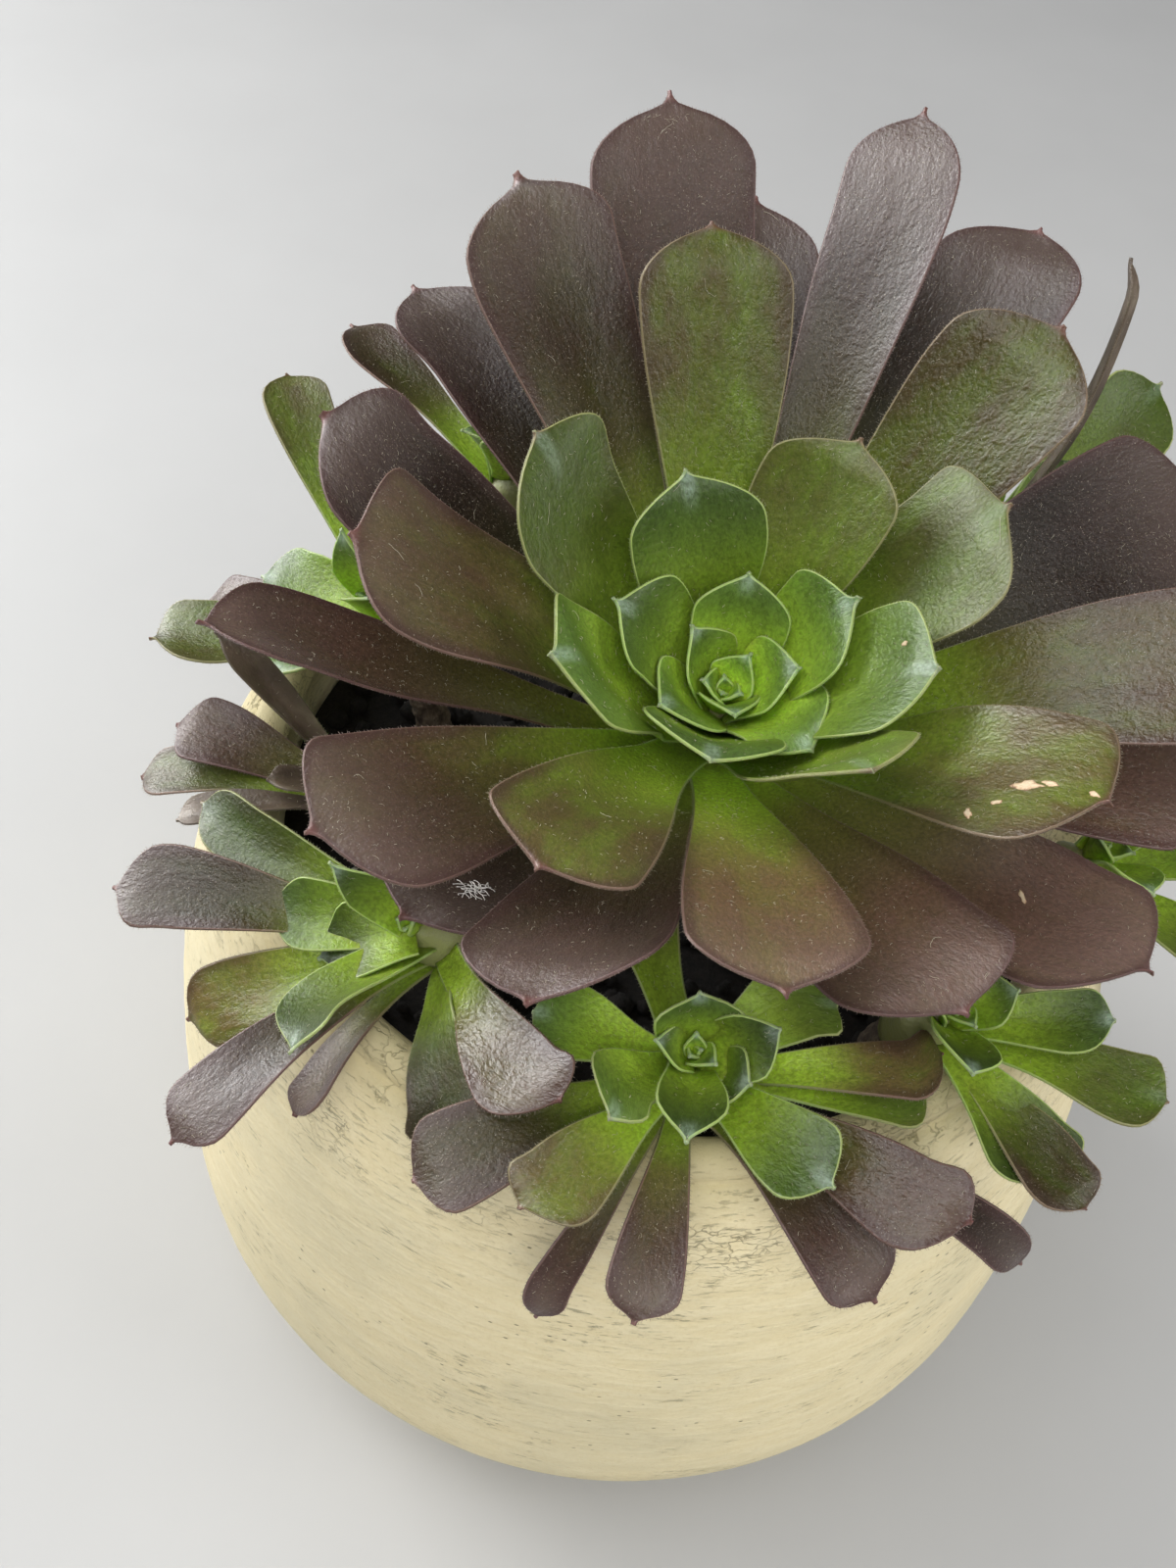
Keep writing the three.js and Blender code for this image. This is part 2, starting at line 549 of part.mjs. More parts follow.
// A body turned about the upright axis, from a profile that starts and ends on it.
function lathed(profile) {
  const geometry = new THREE.LatheGeometry(profile, POT_SIDES);
  geometry.rotateX(Math.PI / 2);
  return solidOf(geometry);
}

// The plain hole that a stem stands in.
function stemHole(rosette) {
  const { foot } = stemPath(rosette);
  const upright = new THREE.Vector3(0, 0, 1);
  const radius = rosette.stemRadius + CLEARANCE / Math.cos(Math.PI / STEM_SIDES);
  const bottom = foot.clone().setZ(SOIL_TOP - STEM_DEPTH - CLEARANCE);
  const top = foot.clone().setZ(SOIL_TOP + HOLE_ABOVE_SOIL);
  return ringSolid([roundRing(bottom, upright, radius), roundRing(top, upright, radius)]);
}

const rosettes = ROSETTES.map((rosette) => ({ ...OFFSET_DEFAULTS, ...rosette }));
const plant = new THREE.Group();
plant.add(meshOf("pot", potSolid(), POT_LOOK));
let soil = soilSolid();
rosettes.forEach((rosette) => {
  soil = soil.subtract(stemHole(rosette));
  plant.add(meshOf(`stem_${rosette.name}`, stemSolid(rosette), STEM_LOOK));
  plant.add(meshOf(`rosette_${rosette.name}`, rosetteSolid(rosette), LEAF_LOOK));
});
plant.add(meshOf("soil", soil, SOIL_LOOK));

export default plant;
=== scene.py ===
import bpy
import numpy as np
from mathutils import Matrix, Vector, noise


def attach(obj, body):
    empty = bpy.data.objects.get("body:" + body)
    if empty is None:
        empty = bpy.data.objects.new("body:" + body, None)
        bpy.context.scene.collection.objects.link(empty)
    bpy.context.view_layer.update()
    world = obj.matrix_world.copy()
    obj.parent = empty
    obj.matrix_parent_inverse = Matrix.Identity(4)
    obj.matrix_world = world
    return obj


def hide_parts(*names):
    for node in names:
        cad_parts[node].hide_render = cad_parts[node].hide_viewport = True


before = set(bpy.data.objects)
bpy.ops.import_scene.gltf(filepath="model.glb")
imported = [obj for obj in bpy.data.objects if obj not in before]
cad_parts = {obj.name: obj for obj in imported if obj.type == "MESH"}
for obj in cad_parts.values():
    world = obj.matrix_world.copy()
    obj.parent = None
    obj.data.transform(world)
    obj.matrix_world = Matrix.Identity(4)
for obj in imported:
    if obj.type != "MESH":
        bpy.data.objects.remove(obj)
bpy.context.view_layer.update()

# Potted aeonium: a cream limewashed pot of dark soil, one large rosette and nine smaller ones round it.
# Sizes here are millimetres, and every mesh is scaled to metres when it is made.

MM = 0.001
SEED = 41

# How the large rosette's leaves change with age: length and width, lift at the root and curl to the tip.
MAIN_GROWTH = dict(
    age=[0, 5, 10, 15, 20, 25, 30, 35, 40],
    length=[11, 27, 50, 75, 99, 114, 119, 114, 98],
    width=[8, 19, 27, 30, 33, 34, 34, 32, 30],
    lift=[68, 62, 54, 47, 40, 34, 28, 21, 8],
    curl=[10, 8, 2, -6, -14, -20, -22, -18, -14],
    youth=18,
)

# The same for the small rosettes, whose oldest leaves hang down.
OFFSET_GROWTH = dict(
    age=[0, 3, 6, 9, 12, 15, 18],
    length=[9, 19, 29, 40, 52, 60, 62],
    width=[6, 14, 18, 20, 20, 19, 17],
    lift=[66, 54, 40, 24, 4, -16, -26],
    curl=[0, -4, -12, -20, -34, -56, -66],
    youth=10,
)

# How far a leaf has turned from green to purple-brown, at its root and at its tip, by age.
MAIN_TURNING = dict(
    age=[0, 8, 12, 15, 18, 22, 26, 32, 40],
    root=[0, 0, 0, 0, 0, 0.05, 0.15, 0.35, 0.55],
    tip=[0, 0.03, 0.14, 0.28, 0.45, 0.66, 0.88, 1, 1],
)
OFFSET_TURNING = dict(
    age=[0, 5, 8, 11, 14, 18, 22],
    root=[0, 0, 0, 0.03, 0.12, 0.3, 0.4],
    tip=[0, 0.08, 0.25, 0.45, 0.62, 0.85, 0.95],
)

# Rows and columns of the fine blades.
LARGE_GRID = (40, 19)
SMALL_GRID = (24, 13)
BUD_GRID = (12, 9)

# Each rosette: its heart, the way it leans, the direction of its youngest leaf, how many leaves grew and
# which of them are lost.
ROSETTES = [
    dict(name="main", heart=[7, -7, 220], lean=16.5, toward=-77, first_leaf=192, leaves=41, lost=[36],
         growth=MAIN_GROWTH, turning=MAIN_TURNING, grid=LARGE_GRID, core=8.5, stem_radius=7.2, thickness=2.2),
    dict(name="front", heart=[8, -82, 203], lean=12, toward=-90, first_leaf=320, leaves=22, lost=[17, 20]),
    dict(name="left", heart=[-48, -60, 200], lean=34, toward=222, first_leaf=230, leaves=19,
         lost=[2, 4, 7, 9, 12, 14, 16, 17]),
    dict(name="left_upper", heart=[-68, 19, 205], lean=20, toward=165, first_leaf=200, leaves=16,
         lost=[9, 10, 12, 13, 15]),
    dict(name="withered", heart=[-66, -20, 191.5], lean=20, toward=188, first_leaf=172, leaves=14,
         lost=[0, 1, 2, 3, 4, 5, 6, 7, 12], core=5),
    dict(name="right", heart=[57.5, -63, 199.5], lean=20, toward=-46, first_leaf=300, leaves=18,
         lost=[4, 6, 7, 9, 11, 12, 14, 15, 16]),
    dict(name="far_right", heart=[89, -22, 203], lean=25, toward=-10, first_leaf=340, leaves=15,
         lost=[4, 6, 7, 9, 11, 12, 14]),
    dict(name="back_right", heart=[72, 62, 212], lean=22, toward=42, first_leaf=20, leaves=16,
         lost=[9, 11, 13, 14, 15]),
    dict(name="back_left", heart=[-48, 74, 206], lean=20, toward=125, first_leaf=120, leaves=15,
         lost=[7, 9, 11, 12, 13]),
    dict(name="back", heart=[18, 88, 210], lean=20, toward=80, first_leaf=60, leaves=15,
         lost=[7, 9, 11, 12, 13]),
]
OFFSET_DEFAULTS = dict(growth=OFFSET_GROWTH, turning=OFFSET_TURNING, grid=SMALL_GRID, core=6, stem_radius=4.5,
                       thickness=1.7)

# By how much single leaves depart from the rule: turn, lift, curl and roll are in degrees, and the others are
# shares. A skewed leaf has its tip nearer one of its corners.
NO_NUDGE = dict(turn=0, lift=0, curl=0, length=1, width=1, skew=0, roll=0, fold=1)
NUDGES = dict(
    main={
        1: dict(lift=8),
        2: dict(curl=-7),
        3: dict(turn=6),
        4: dict(turn=3, lift=6, skew=-0.15),
        5: dict(turn=-4, lift=-5, curl=-4),
        6: dict(turn=4, lift=8, width=0.95),
        7: dict(turn=7, curl=-12, width=0.9, skew=-0.45),
        8: dict(turn=-3, lift=2, curl=-5, width=0.92, skew=0.2, roll=-6),
        9: dict(turn=-6, lift=10, length=0.92, width=0.92, skew=0.1, roll=-7),
        10: dict(lift=8, roll=7),
        11: dict(lift=7, length=0.97, roll=-5),
        12: dict(turn=8, lift=11, curl=3, length=0.94, width=1.05),
        13: dict(lift=7, curl=8, length=0.94, roll=4),
        14: dict(turn=4, lift=9, length=0.92, width=0.96, roll=-6),
        15: dict(turn=10, lift=18, curl=27, length=0.96),
        16: dict(turn=2, lift=4, curl=4, length=0.9, width=0.96, skew=-0.3),
        17: dict(turn=16, lift=8, length=0.88, skew=0.2, roll=-10),
        18: dict(turn=2, lift=4, curl=5, width=0.94, roll=7),
        19: dict(turn=4, lift=4, length=1.05, width=0.95),
        20: dict(turn=9, lift=10, curl=5, length=0.96, roll=-8),
        21: dict(turn=-3, lift=5, curl=5, length=0.92, width=1.08, roll=10),
        22: dict(turn=5, lift=8, width=0.95, skew=-0.1),
        23: dict(turn=7, lift=11, curl=9, length=0.93, width=0.92),
        24: dict(turn=-7, lift=-2, length=1.06, width=0.95, skew=-0.2),
        25: dict(turn=11, lift=-2, curl=-3),
        26: dict(turn=2, lift=4, curl=6, length=0.93, skew=-0.12, roll=7),
        27: dict(turn=-1, length=1.18, width=0.74, skew=0.13, roll=-24),
        28: dict(turn=-2, lift=9, curl=8, length=0.82, skew=0.15, roll=3),
        29: dict(turn=-3, lift=2, length=0.87, width=0.9, skew=-0.4, roll=4),
        30: dict(turn=4, lift=-8, curl=-6, width=1.1, roll=10),
        31: dict(lift=16, curl=18, length=0.89, skew=-0.17, roll=30),
        32: dict(turn=-6, lift=8, curl=3, length=1.14, width=1.08, skew=-0.1, roll=6),
        33: dict(turn=-10, lift=8, curl=6, length=0.9, width=1.12, skew=0.2, roll=-15),
        34: dict(turn=-9, lift=10, curl=22, length=0.98, width=0.72, skew=0.2, roll=28),
        35: dict(turn=5, lift=2, curl=-8, length=1.2, width=1.08, skew=0.1, roll=-17),
        37: dict(turn=-15, curl=-6, length=1.1, width=0.83, skew=0.5),
        38: dict(turn=-12, lift=12, length=1.04, width=1.04),
        39: dict(turn=2, lift=21, curl=14, length=0.86, skew=-0.45, roll=14),
        40: dict(turn=-1, lift=13, curl=-4, length=1.28, width=0.9, skew=0.14),
    },
    front={
        1: dict(lift=-4),
        2: dict(turn=-32, lift=-12, curl=6, length=1.2, width=1.15, roll=36),
        3: dict(lift=-5, curl=-9, length=1.4, width=0.9),
        4: dict(turn=-36, lift=24, length=0.82, width=1.1, roll=7),
        5: dict(turn=-20, lift=11, length=0.6, width=0.62, skew=-0.2, roll=18),
        6: dict(lift=4, length=0.95, width=0.82, skew=0.7, roll=24),
        7: dict(turn=-42, lift=-22, length=0.84, width=0.9, skew=-0.4, roll=-10),
        8: dict(turn=16, lift=4, width=0.82, roll=12),
        9: dict(turn=8, lift=-8, length=0.7, width=0.84, roll=9),
        10: dict(turn=-25, lift=-20, width=0.9, skew=0.4, roll=-24),
        11: dict(turn=-16, lift=10, length=0.87, width=0.8, skew=-0.3),
        12: dict(lift=-22),
        13: dict(turn=-3, lift=25, curl=8, length=1.04, width=0.85, skew=0.4, roll=10),
        14: dict(turn=15, lift=20, length=0.95, width=0.94),
        15: dict(turn=-53, lift=24, length=0.81, width=0.74, skew=0.9, roll=-20),
        16: dict(turn=-16, lift=35, length=0.8, width=0.72, roll=-6),
        18: dict(turn=-23, lift=11, curl=-5, length=1.3, width=0.57, skew=-0.2, roll=30),
        19: dict(turn=16, lift=12, curl=-16, length=0.87, width=0.5, skew=0.4, roll=-28),
        21: dict(turn=2, lift=41, length=0.88, width=0.94),
    },
    left={
        0: dict(turn=-32, lift=-50, curl=-12, length=2.3, width=2.6),
        1: dict(turn=34, length=1.9, skew=0.3),
        3: dict(turn=-4, lift=-30, curl=-8, length=1.6, skew=-0.1, roll=-6),
        5: dict(turn=-24, lift=2, curl=6, length=1.5, skew=0.5, roll=30),
        6: dict(turn=28, lift=-24, curl=-13, length=1.9, width=0.7, skew=-0.3),
        8: dict(turn=-9, lift=-14, curl=-9, length=1.36, width=0.86, roll=-16),
        10: dict(turn=17, lift=4, length=1.1, width=0.86, skew=0.4, roll=-8),
        11: dict(turn=15, lift=20, curl=5, length=1.3, width=0.86, skew=0.2, roll=7),
        13: dict(turn=-13, lift=36, length=1.16, width=0.76),
        15: dict(turn=-40, lift=36, length=0.7, width=0.84, skew=-0.6, roll=8),
        18: dict(turn=-36, lift=48, length=0.73, width=0.6, skew=-0.5, roll=24),
    },
    left_upper={
        1: dict(turn=-3, lift=38, length=2.1, width=1.25, skew=0.15, roll=10),
        2: dict(length=1.3, width=1.2),
        3: dict(turn=19, lift=-37, curl=6, length=1.75, width=1.45, skew=-0.4, roll=-10),
        5: dict(turn=6, lift=-18, length=1.3),
        6: dict(turn=-8, lift=6, length=1.2),
        8: dict(turn=18, lift=-7, curl=5, length=1.4, skew=-0.3, roll=-7),
        11: dict(turn=37, lift=-2, length=1.05, width=0.84, skew=-0.2),
        14: dict(turn=41, lift=53, length=1.25, width=0.8, skew=-0.2, roll=16),
    },
    withered={
        8: dict(turn=-2, lift=40, length=1.4, width=0.36, curl=8, fold=3),
        9: dict(turn=-175, lift=31, length=0.61, width=0.36, curl=-10, fold=2.5),
        10: dict(turn=-38, lift=10, length=0.94, width=0.4, curl=-14, fold=2.5),
        11: dict(turn=67, lift=23, length=0.96, width=0.83, curl=-2),
        13: dict(turn=-4, lift=28, length=0.97, width=0.65, curl=-14),
    },
    right={
        3: dict(turn=14, length=1.1, skew=0.2),
        5: dict(turn=29, lift=-14, curl=-3, length=1.24, width=0.76, skew=0.3),
        8: dict(turn=26, lift=-9, curl=5, length=0.95, width=0.92, skew=0.3, roll=9),
        10: dict(turn=-21, lift=11, curl=6, width=0.8, skew=0.15, roll=-8),
        13: dict(turn=-5, lift=27, length=0.8, width=0.76, skew=0.25),
    },
    back_right={
        2: dict(turn=-50, lift=-4, length=1.9, width=0.84),
        5: dict(turn=-7, lift=7, curl=-6, length=2.3, width=1.34, skew=0.1, roll=28),
        7: dict(turn=-16, lift=3, curl=-5, length=1.9, width=0.9, skew=-0.5),
        10: dict(turn=22, lift=33, curl=-4, length=1.7, width=0.78, skew=0.2, roll=-16),
        12: dict(turn=-20, lift=84, curl=4, length=1.54, width=0.44, fold=3),
    },
    back_left={
        3: dict(turn=31, lift=7, length=1.5, width=0.92, skew=0.2),
        5: dict(turn=-16, lift=46, length=1.36, width=1.08, skew=-0.25, roll=-12),
        8: dict(turn=41, curl=8, length=1.8, width=0.92, skew=-0.5, roll=8),
    },
    back={
        4: dict(lift=10, length=1.3),
        6: dict(lift=12, length=1.4),
    },
)

# Where the soil's top is, and the space that parts keep.
SOIL_TOP = 168
CLEARANCE = 0.3

# Pot.
POT_RADIUS = 120
POT_HEIGHT = 185
POT_FOOT_RADIUS = 60
POT_BELLY_HEIGHT = 60
POT_RIM_RADIUS = 97
POT_MOUTH_RADIUS = 88
POT_WALL = 9
POT_FLOOR = 10
POT_LOWER_ROUNDNESS = 1.9
POT_UPPER_ROUNDNESS = 1.8
POT_LIP = 5
LIP_ROWS = 16
POT_ROWS = 44
POT_SIDES = 224
POT_FOOT_ROWS = (0, 0.5, 0.96)
INSIDE_HEIGHTS = (176, 172, SOIL_TOP, 150, 130, 105, 85, 65, 45, 25, POT_FLOOR)

# The relief of the thrown clay, which fades out at the foot and inside the mouth.
POT_RELIEF = 0.22
MOST_RELIEF = 0.3
THROWING_STRETCH = 7
SMOOTH_FOOT = 6
SMOOTH_INSIDE = 8

# Soil.
SOIL_GAP = 0.35
SOIL_ROWS = 34
SOIL_SIDES = 110
SOIL_HEIGHTS = (POT_FLOOR + CLEARANCE, 45, 85, 130, SOIL_TOP - 1.5)
SOIL_RELIEF = 2.2
SOIL_RISE = 0.8
SOIL_EDGE = 5

# The crumbs and the pale grit on the soil. The larger a crumb is, the higher it stands.
CRUMBS = 520
GRIT = 46
GRIT_SIZE = (0.9, 2.0)
CRUMB_SIZE = (3.0, 0.6)
LEAST_CRUMB = 0.5
LARGEST_CRUMB = 3.2
CRUMB_MARGIN = 3.5
CRUMB_RISE = 0.6
CRUMB_STANDING = 0.25
CRUMB_SIDES = 7
CRUMB_RINGS = (0.25, 0.75, 1.3, 1.9, 2.5, 2.95)
CRUMB_FLATNESS = 0.8
CRUMB_RAGGEDNESS = (0.75, 1.15)

# Stems, with their bark and the rings of their lost leaves, which fade out at the ground.
STEM_DEPTH = 26
STEM_BEND = 0.8
STEM_SIDES = 20
STEM_ROWS = 44
STEM_TOP_TAPER = 0.9
BARK_RELIEF = 0.25
RING_RATE = 0.85
RING_RELIEF = 0.35
RING_SHARPNESS = 6
SMOOTH_GROUND = 4

# Noises on these: scale, octaves and offset. The bark's offset is its stem's radius.
THROWING = (0.03, 4, 5.0)
BULGES = (0.012, 2, 9.0)
SOIL_LUMPS = (0.05, 4, 3.0)
BARK_GRAIN = (0.32, 3)

# What the noises share: how their octaves fall off and grow finer, and which way an offset goes.
NOISE_FALL = 0.6
NOISE_LACUNARITY = 2.1
NOISE_SHIFT = (1, 0.7, 1.3)

# Leaves: the same rule as the solids. Where there are two values, they are for an old and a young leaf.
GOLDEN_ANGLE = 137.5
LEAF_SPACING = 0.8
EDGE_THICKNESS = 0.7
ROOT_WIDTH = (0.34, 0.78)
LEAST_HALF_WIDTH = 0.2
WIDEST = (0.87, 0.68)
WIDEST_POWER = 0.7
SHOULDER = (1.5, 1.1)
CUP = (0.2, 0.55)
CUP_FLATTENING = 0.6
CUP_POWER = 1.6
ROLL_REACH = 0.8
LEAST_CURL = 1e-3
TIP_THINNING = 0.5
ROOT_SUNK = 1.4
LEAST_ROOT_OFFSET = 0.4
CORE_FOOT = 4
CORE_SHOULDER = 0.35
CORE_TIP = 0.25
CORE_SIDES = 20
CORE_ROWS = 12
MUCRO_SHARPNESS = 0.05
SKEW_REACH = 0.08
OUTLINE_STEPS = 400

# The end of a leaf: the mucro's and the sloping edge's share of the length, and how square the corners are.
MUCRO = (0.018, 0.045)
SLOPE = (0.04, 0.15)
SLOPE_POWER = 1.25
SQUARENESS = (2.4, 3.0)
MIDDLE_SQUARENESS = 1.3

# How a leaf's tip turns down: where it starts, its reach and how sudden it is, and its depth.
OLD_TIP = (0.9, 0.1, 1.0)
YOUNG_TIP = (0.78, 0.22, 1.6)
RECURVE = (0.022, 0.085)
EDGE_RECURVE = 0.5

# The ripples of a leaf: their rates along it, and the rates across and along it of a slanting one.
RIPPLES = (7, 11, 5)
SLANTING_RIPPLE = (4.4, 9)
RIPPLE_HEIGHT = 0.55
ROOT_EASING = 2.5

# What differs by chance from leaf to leaf.
SEED_RANGE = 900
WAVES = (0.06, 0.015)
BEND = 0.018
SKEW = 0.05
RIPENING = 0.1
POINTS = (0.6, 1.4)

# Leaves whose ends are squarer or rounder than the rule has them.
SQUARED = dict(
    main={10: 1, 12: 1.2, 13: 1.5, 14: 0.6, 16: 1, 17: 1.5, 18: 0.8, 20: 0.6, 21: 1.5, 23: 0.4, 26: 0.5,
          28: 0.5, 30: -0.4, 33: -0.2, 35: -0.2, 38: -0.4},
)

# The leaves of the heart are more pointed, and a bud of tiny ones closes it.
BUD_YOUNGNESS = 0.6
BUD_SLOPE = 0.14
BUD_WIDEST = 0.07
BUD_SQUARENESS = 2.3
BUD_LENGTHS = (0.68, 0.46, 0.3)
BUD_LIFT = 4

# The fine blades, and the hairs on their edges.
ROW_CROWDING = 1.7
SHORT_LEAF = 30
LEAST_ROWS = 10
EDGE_ROUNDING = 0.8
TIP_NEARNESS = 0.8
UNDERSIDE_SHIFT = 3
CILIA_SPAN = (0.1, 0.995)
CILIA_STEPS = 500
CILIUM_LENGTH = 0.6
CILIUM_RADIUS = 0.07
CILIUM_SPACING = 0.8
CILIUM_SLANT = 0.35
CILIUM_SPREAD = 0.3
CILIUM_JITTER = (0.2, 0.8)
CILIUM_STEP = 0.004
CILIUM_OUTSET = 0.25
LEAST_TANGENT = 1e-6
YOUNG_CILIA = 0.6
CILIA_LENGTHS = (0.6, 1.25)
INNER_EDGE = 0.97

# Fine pale hairs that lie on the leaves: how many for each square millimetre, and what each is like.
FUZZ = dict(density=0.03, chance=(0.5, 1.5), length=(0.4, 1.4), radius=0.03, steps=4)
FIBRES = dict(density=0.0008, chance=(0, 2), length=(2, 4.5), radius=0.038, steps=8)
DOWN = dict(density=0.03, length=(0.3, 1.0), radius=0.035, steps=4)
YOUNG_FUZZ = 0.35
LINT_REACH = (0.25, 0.96)
LINT_SIDE = 0.85
LINT_SPAN = (0.2, 0.985)
LINT_EDGE = 0.95
LINT_SIDES = 4
CURLINESS = 1.1
LINT_ARCH = 0.3
LEAST_STEP = 0.02

# Tangles of white fluff that are caught on a leaf.
TANGLES = dict(main={39: [(0.82, -0.09)]})
FLUFF = dict(length=(1.5, 3.5), radius=0.09, steps=8)
FLUFF_HAIRS = 34
FLUFF_SPREAD = 0.012

# Corky scars on the leaves: how far along, how far across, length, width and slant.
SCARS = dict(
    main={
        20: [(0.85, -0.14, 6.5, 2.8, 8), (0.89, -0.06, 4, 1.5, -6), (0.82, -0.48, 2.6, 1.5, 30),
             (0.785, -0.74, 3.8, 1.6, -45), (0.968, 0.02, 2.4, 1.3, 0)],
        33: [(0.74, 0.12, 4.4, 1.1, -40)],
        12: [(0.86, 0.42, 1.8, 1.2, 20)],
    },
)
SCAR_SIDES = 13
SCAR_RAGGEDNESS = (0.65, 1.15)
SCAR_RINGS = [(1.0, -0.02), (0.8, 0.14), (0.4, 0.1)]

# How a leaf turns from green: where along it that starts and its reach. Toward the tip its edges are ahead of
# its middle. This and its own ripening by chance set in as the tip turns.
TURNING_START = 0.12
TURNING_REACH = 0.62
EDGE_RIPENESS = 0.1
EDGE_RATE = 1.6
EDGE_START = 0.6
EDGE_NARROWNESS = 3
EDGE_ONSET = 3
OWN_ONSET = 4

# Single leaves that are greener or browner than the rule has them, and those that are dried.
TONES = dict(
    main={16: -0.05, 19: -0.1, 20: -0.12, 22: -0.12, 23: 0.05, 25: -0.15, 28: 0.15, 29: 0.1, 31: 0.1},
    front={8: -0.1, 9: -0.15, 10: -0.2, 11: -0.1, 13: 0.15, 14: 0.1, 15: -0.1},
    left={0: 0.12, 1: 0.08, 3: 0.15, 5: 0.18, 6: 0.2, 8: 0.3, 10: 0.4, 11: 0.3, 13: 0.45, 15: -0.2},
    left_upper={11: 0.4, 14: -0.2},
    right={3: -0.1, 8: -0.1, 10: -0.2, 13: -0.15},
    withered={11: 0.5, 13: -0.1},
    back_right={2: 0.55, 5: 0.5, 7: 0.2, 10: 0.4},
    back_left={3: 0.2, 8: 0.5},
)
DRYNESS = dict(withered={8: 1, 9: 1, 10: 1}, back_right={12: 1})

# How light each leaf is beside the others of its ripeness: its own tone and painted light and shading.
PAINTED_LIGHT_AND_TONES = dict(
    main={1: 1.4, 3: 0.8, 4: 1.3, 6: 0.95, 7: 1.3, 8: 0.6, 9: 1.2, 10: 0.75, 11: 0.6, 12: 0.9, 14: 0.8,
          15: 1.1, 16: 0.5, 17: 0.65, 19: 0.7, 22: 0.65, 23: 1.8, 24: 0.6, 25: 0.9, 27: 0.6, 28: 1.9,
          29: 0.35, 30: 0.35, 31: 0.9, 32: 0.8, 33: 2.1, 34: 1.2, 35: 0.35, 37: 0.45, 38: 1.7, 39: 0.65,
          40: 0.35},
    front={1: 0.6, 2: 0.55, 3: 0.45, 4: 0.75, 5: 0.65, 8: 0.7, 9: 1.25, 10: 0.9, 12: 0.5, 14: 0.55, 15: 1.7,
           16: 0.9, 18: 0.35},
    left={0: 0.3, 1: 0.6, 3: 0.65, 5: 0.45, 6: 0.3, 8: 1.6, 11: 0.45, 13: 0.6, 15: 0.45, 18: 1.1},
    left_upper={2: 0.6, 3: 0.6, 8: 0.6, 14: 0.75},
    withered={13: 0.6},
    right={2: 0.9, 3: 0.45, 5: 0.65, 8: 0.4, 10: 0.6, 13: 0.45},
    far_right={8: 0.6},
    back_right={2: 0.5, 5: 0.5},
    back_left={8: 0.5},
)

# Leaves that are glossier and more wrinkled than the others, and the wrinkles: their rates across and along
# a leaf and their phases, how high they are, and where along a leaf they start.
GLOSS = 0.25
GLOSSES = dict(
    main={1: 0.5, 2: 0.4, 3: 0.4, 4: 0.5, 5: 0.3, 6: 0.4, 7: 0.5, 9: 0.5, 19: 0.6, 20: 0.6, 22: 1, 25: 1,
          27: 0.6, 34: 0.8, 38: 0.7},
    front={8: 0.6, 11: 0.5, 13: 0.8, 15: 0.5},
    left={8: 0.9, 10: 1, 11: 0.6, 13: 0.5},
    left_upper={8: 0.5},
)
WRINKLE = 0.045
WRINKLE_WAVES = [(0.85, 0.3, 1), (-0.35, 0.75, 2), (0.8, 1.15, 3), (-1.1, 0.5, 0)]
FINE_WRINKLE = 0.6
WRINKLE_START = 0.3
LEAST_WRINKLED = 20


def mix(low, high, share):
    return low + (high - low) * share


def smooth(share):
    share = np.clip(share, 0, 1)
    return share * share * (3 - 2 * share)


def unit(vectors):
    return vectors / np.linalg.norm(vectors, axis=-1, keepdims=True)


def turned(vector, axis, degrees):
    """The vector turned about a unit axis. Both may be one vector or a row of them."""
    angle = np.radians(degrees)
    cosine, sine = np.cos(angle)[..., None], np.sin(angle)[..., None]
    along = np.sum(axis * vector, axis=-1, keepdims=True)
    return vector * cosine + np.cross(axis, vector) * sine + axis * along * (1 - cosine)


def noise_at(points, scale, octaves, offset):
    """Smooth noise, about -1 to 1, at each point, with points in millimetres."""
    shift = Vector([offset * part for part in NOISE_SHIFT])
    return np.array([noise.fractal(Vector(point) * scale + shift, NOISE_FALL, NOISE_LACUNARITY, octaves)
                     for point in points])


def placed(name, data):
    """A new object in the scene."""
    piece = bpy.data.objects.new(name, data)
    bpy.context.scene.collection.objects.link(piece)
    return piece


def round_about(sides):
    return np.linspace(0, 2 * np.pi, sides, endpoint=False)


# Meshes.

class Body:
    """Vertices and faces that are gathered into one mesh, with a value of each kind for every vertex."""

    USUAL = dict(ripeness=0.0, edge_distance=0.0, dryness=0.0, reach=0.0, gloss=0.0, shade=1.0)

    def __init__(self):
        self.points, self.faces, self.slots, self.places = [], [], [], []
        self.values = {kind: [] for kind in self.USUAL}
        self.count = 0

    def add(self, points, faces, slot=0, places=None, **values):
        points = np.asarray(points, dtype=float).reshape(-1, 3)
        self.points.append(points)
        self.faces += [[index + self.count for index in face] for face in faces]
        self.slots += [slot] * len(faces)
        self.places.append(points if places is None else places)
        for kind, usual in self.USUAL.items():
            self.values[kind].append(np.broadcast_to(values.get(kind, usual), (len(points),)))
        self.count += len(points)

    def make(self, name, materials):
        mesh = bpy.data.meshes.new(name)
        mesh.from_pydata((np.concatenate(self.points) * MM).tolist(), [], self.faces)
        for material in materials:
            mesh.materials.append(material)
        mesh.polygons.foreach_set("material_index", self.slots)
        mesh.polygons.foreach_set("use_smooth", [True] * len(self.faces))
        for kind, values in self.values.items():
            attribute = mesh.attributes.new(kind, "FLOAT", "POINT")
            attribute.data.foreach_set("value", np.concatenate(values).astype(np.float32))
        attribute = mesh.attributes.new("place", "FLOAT_VECTOR", "POINT")
        attribute.data.foreach_set("vector", np.concatenate(self.places).astype(np.float32).ravel())
        mesh.update()
        piece = placed(name, mesh)
        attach(piece, "root")
        return piece


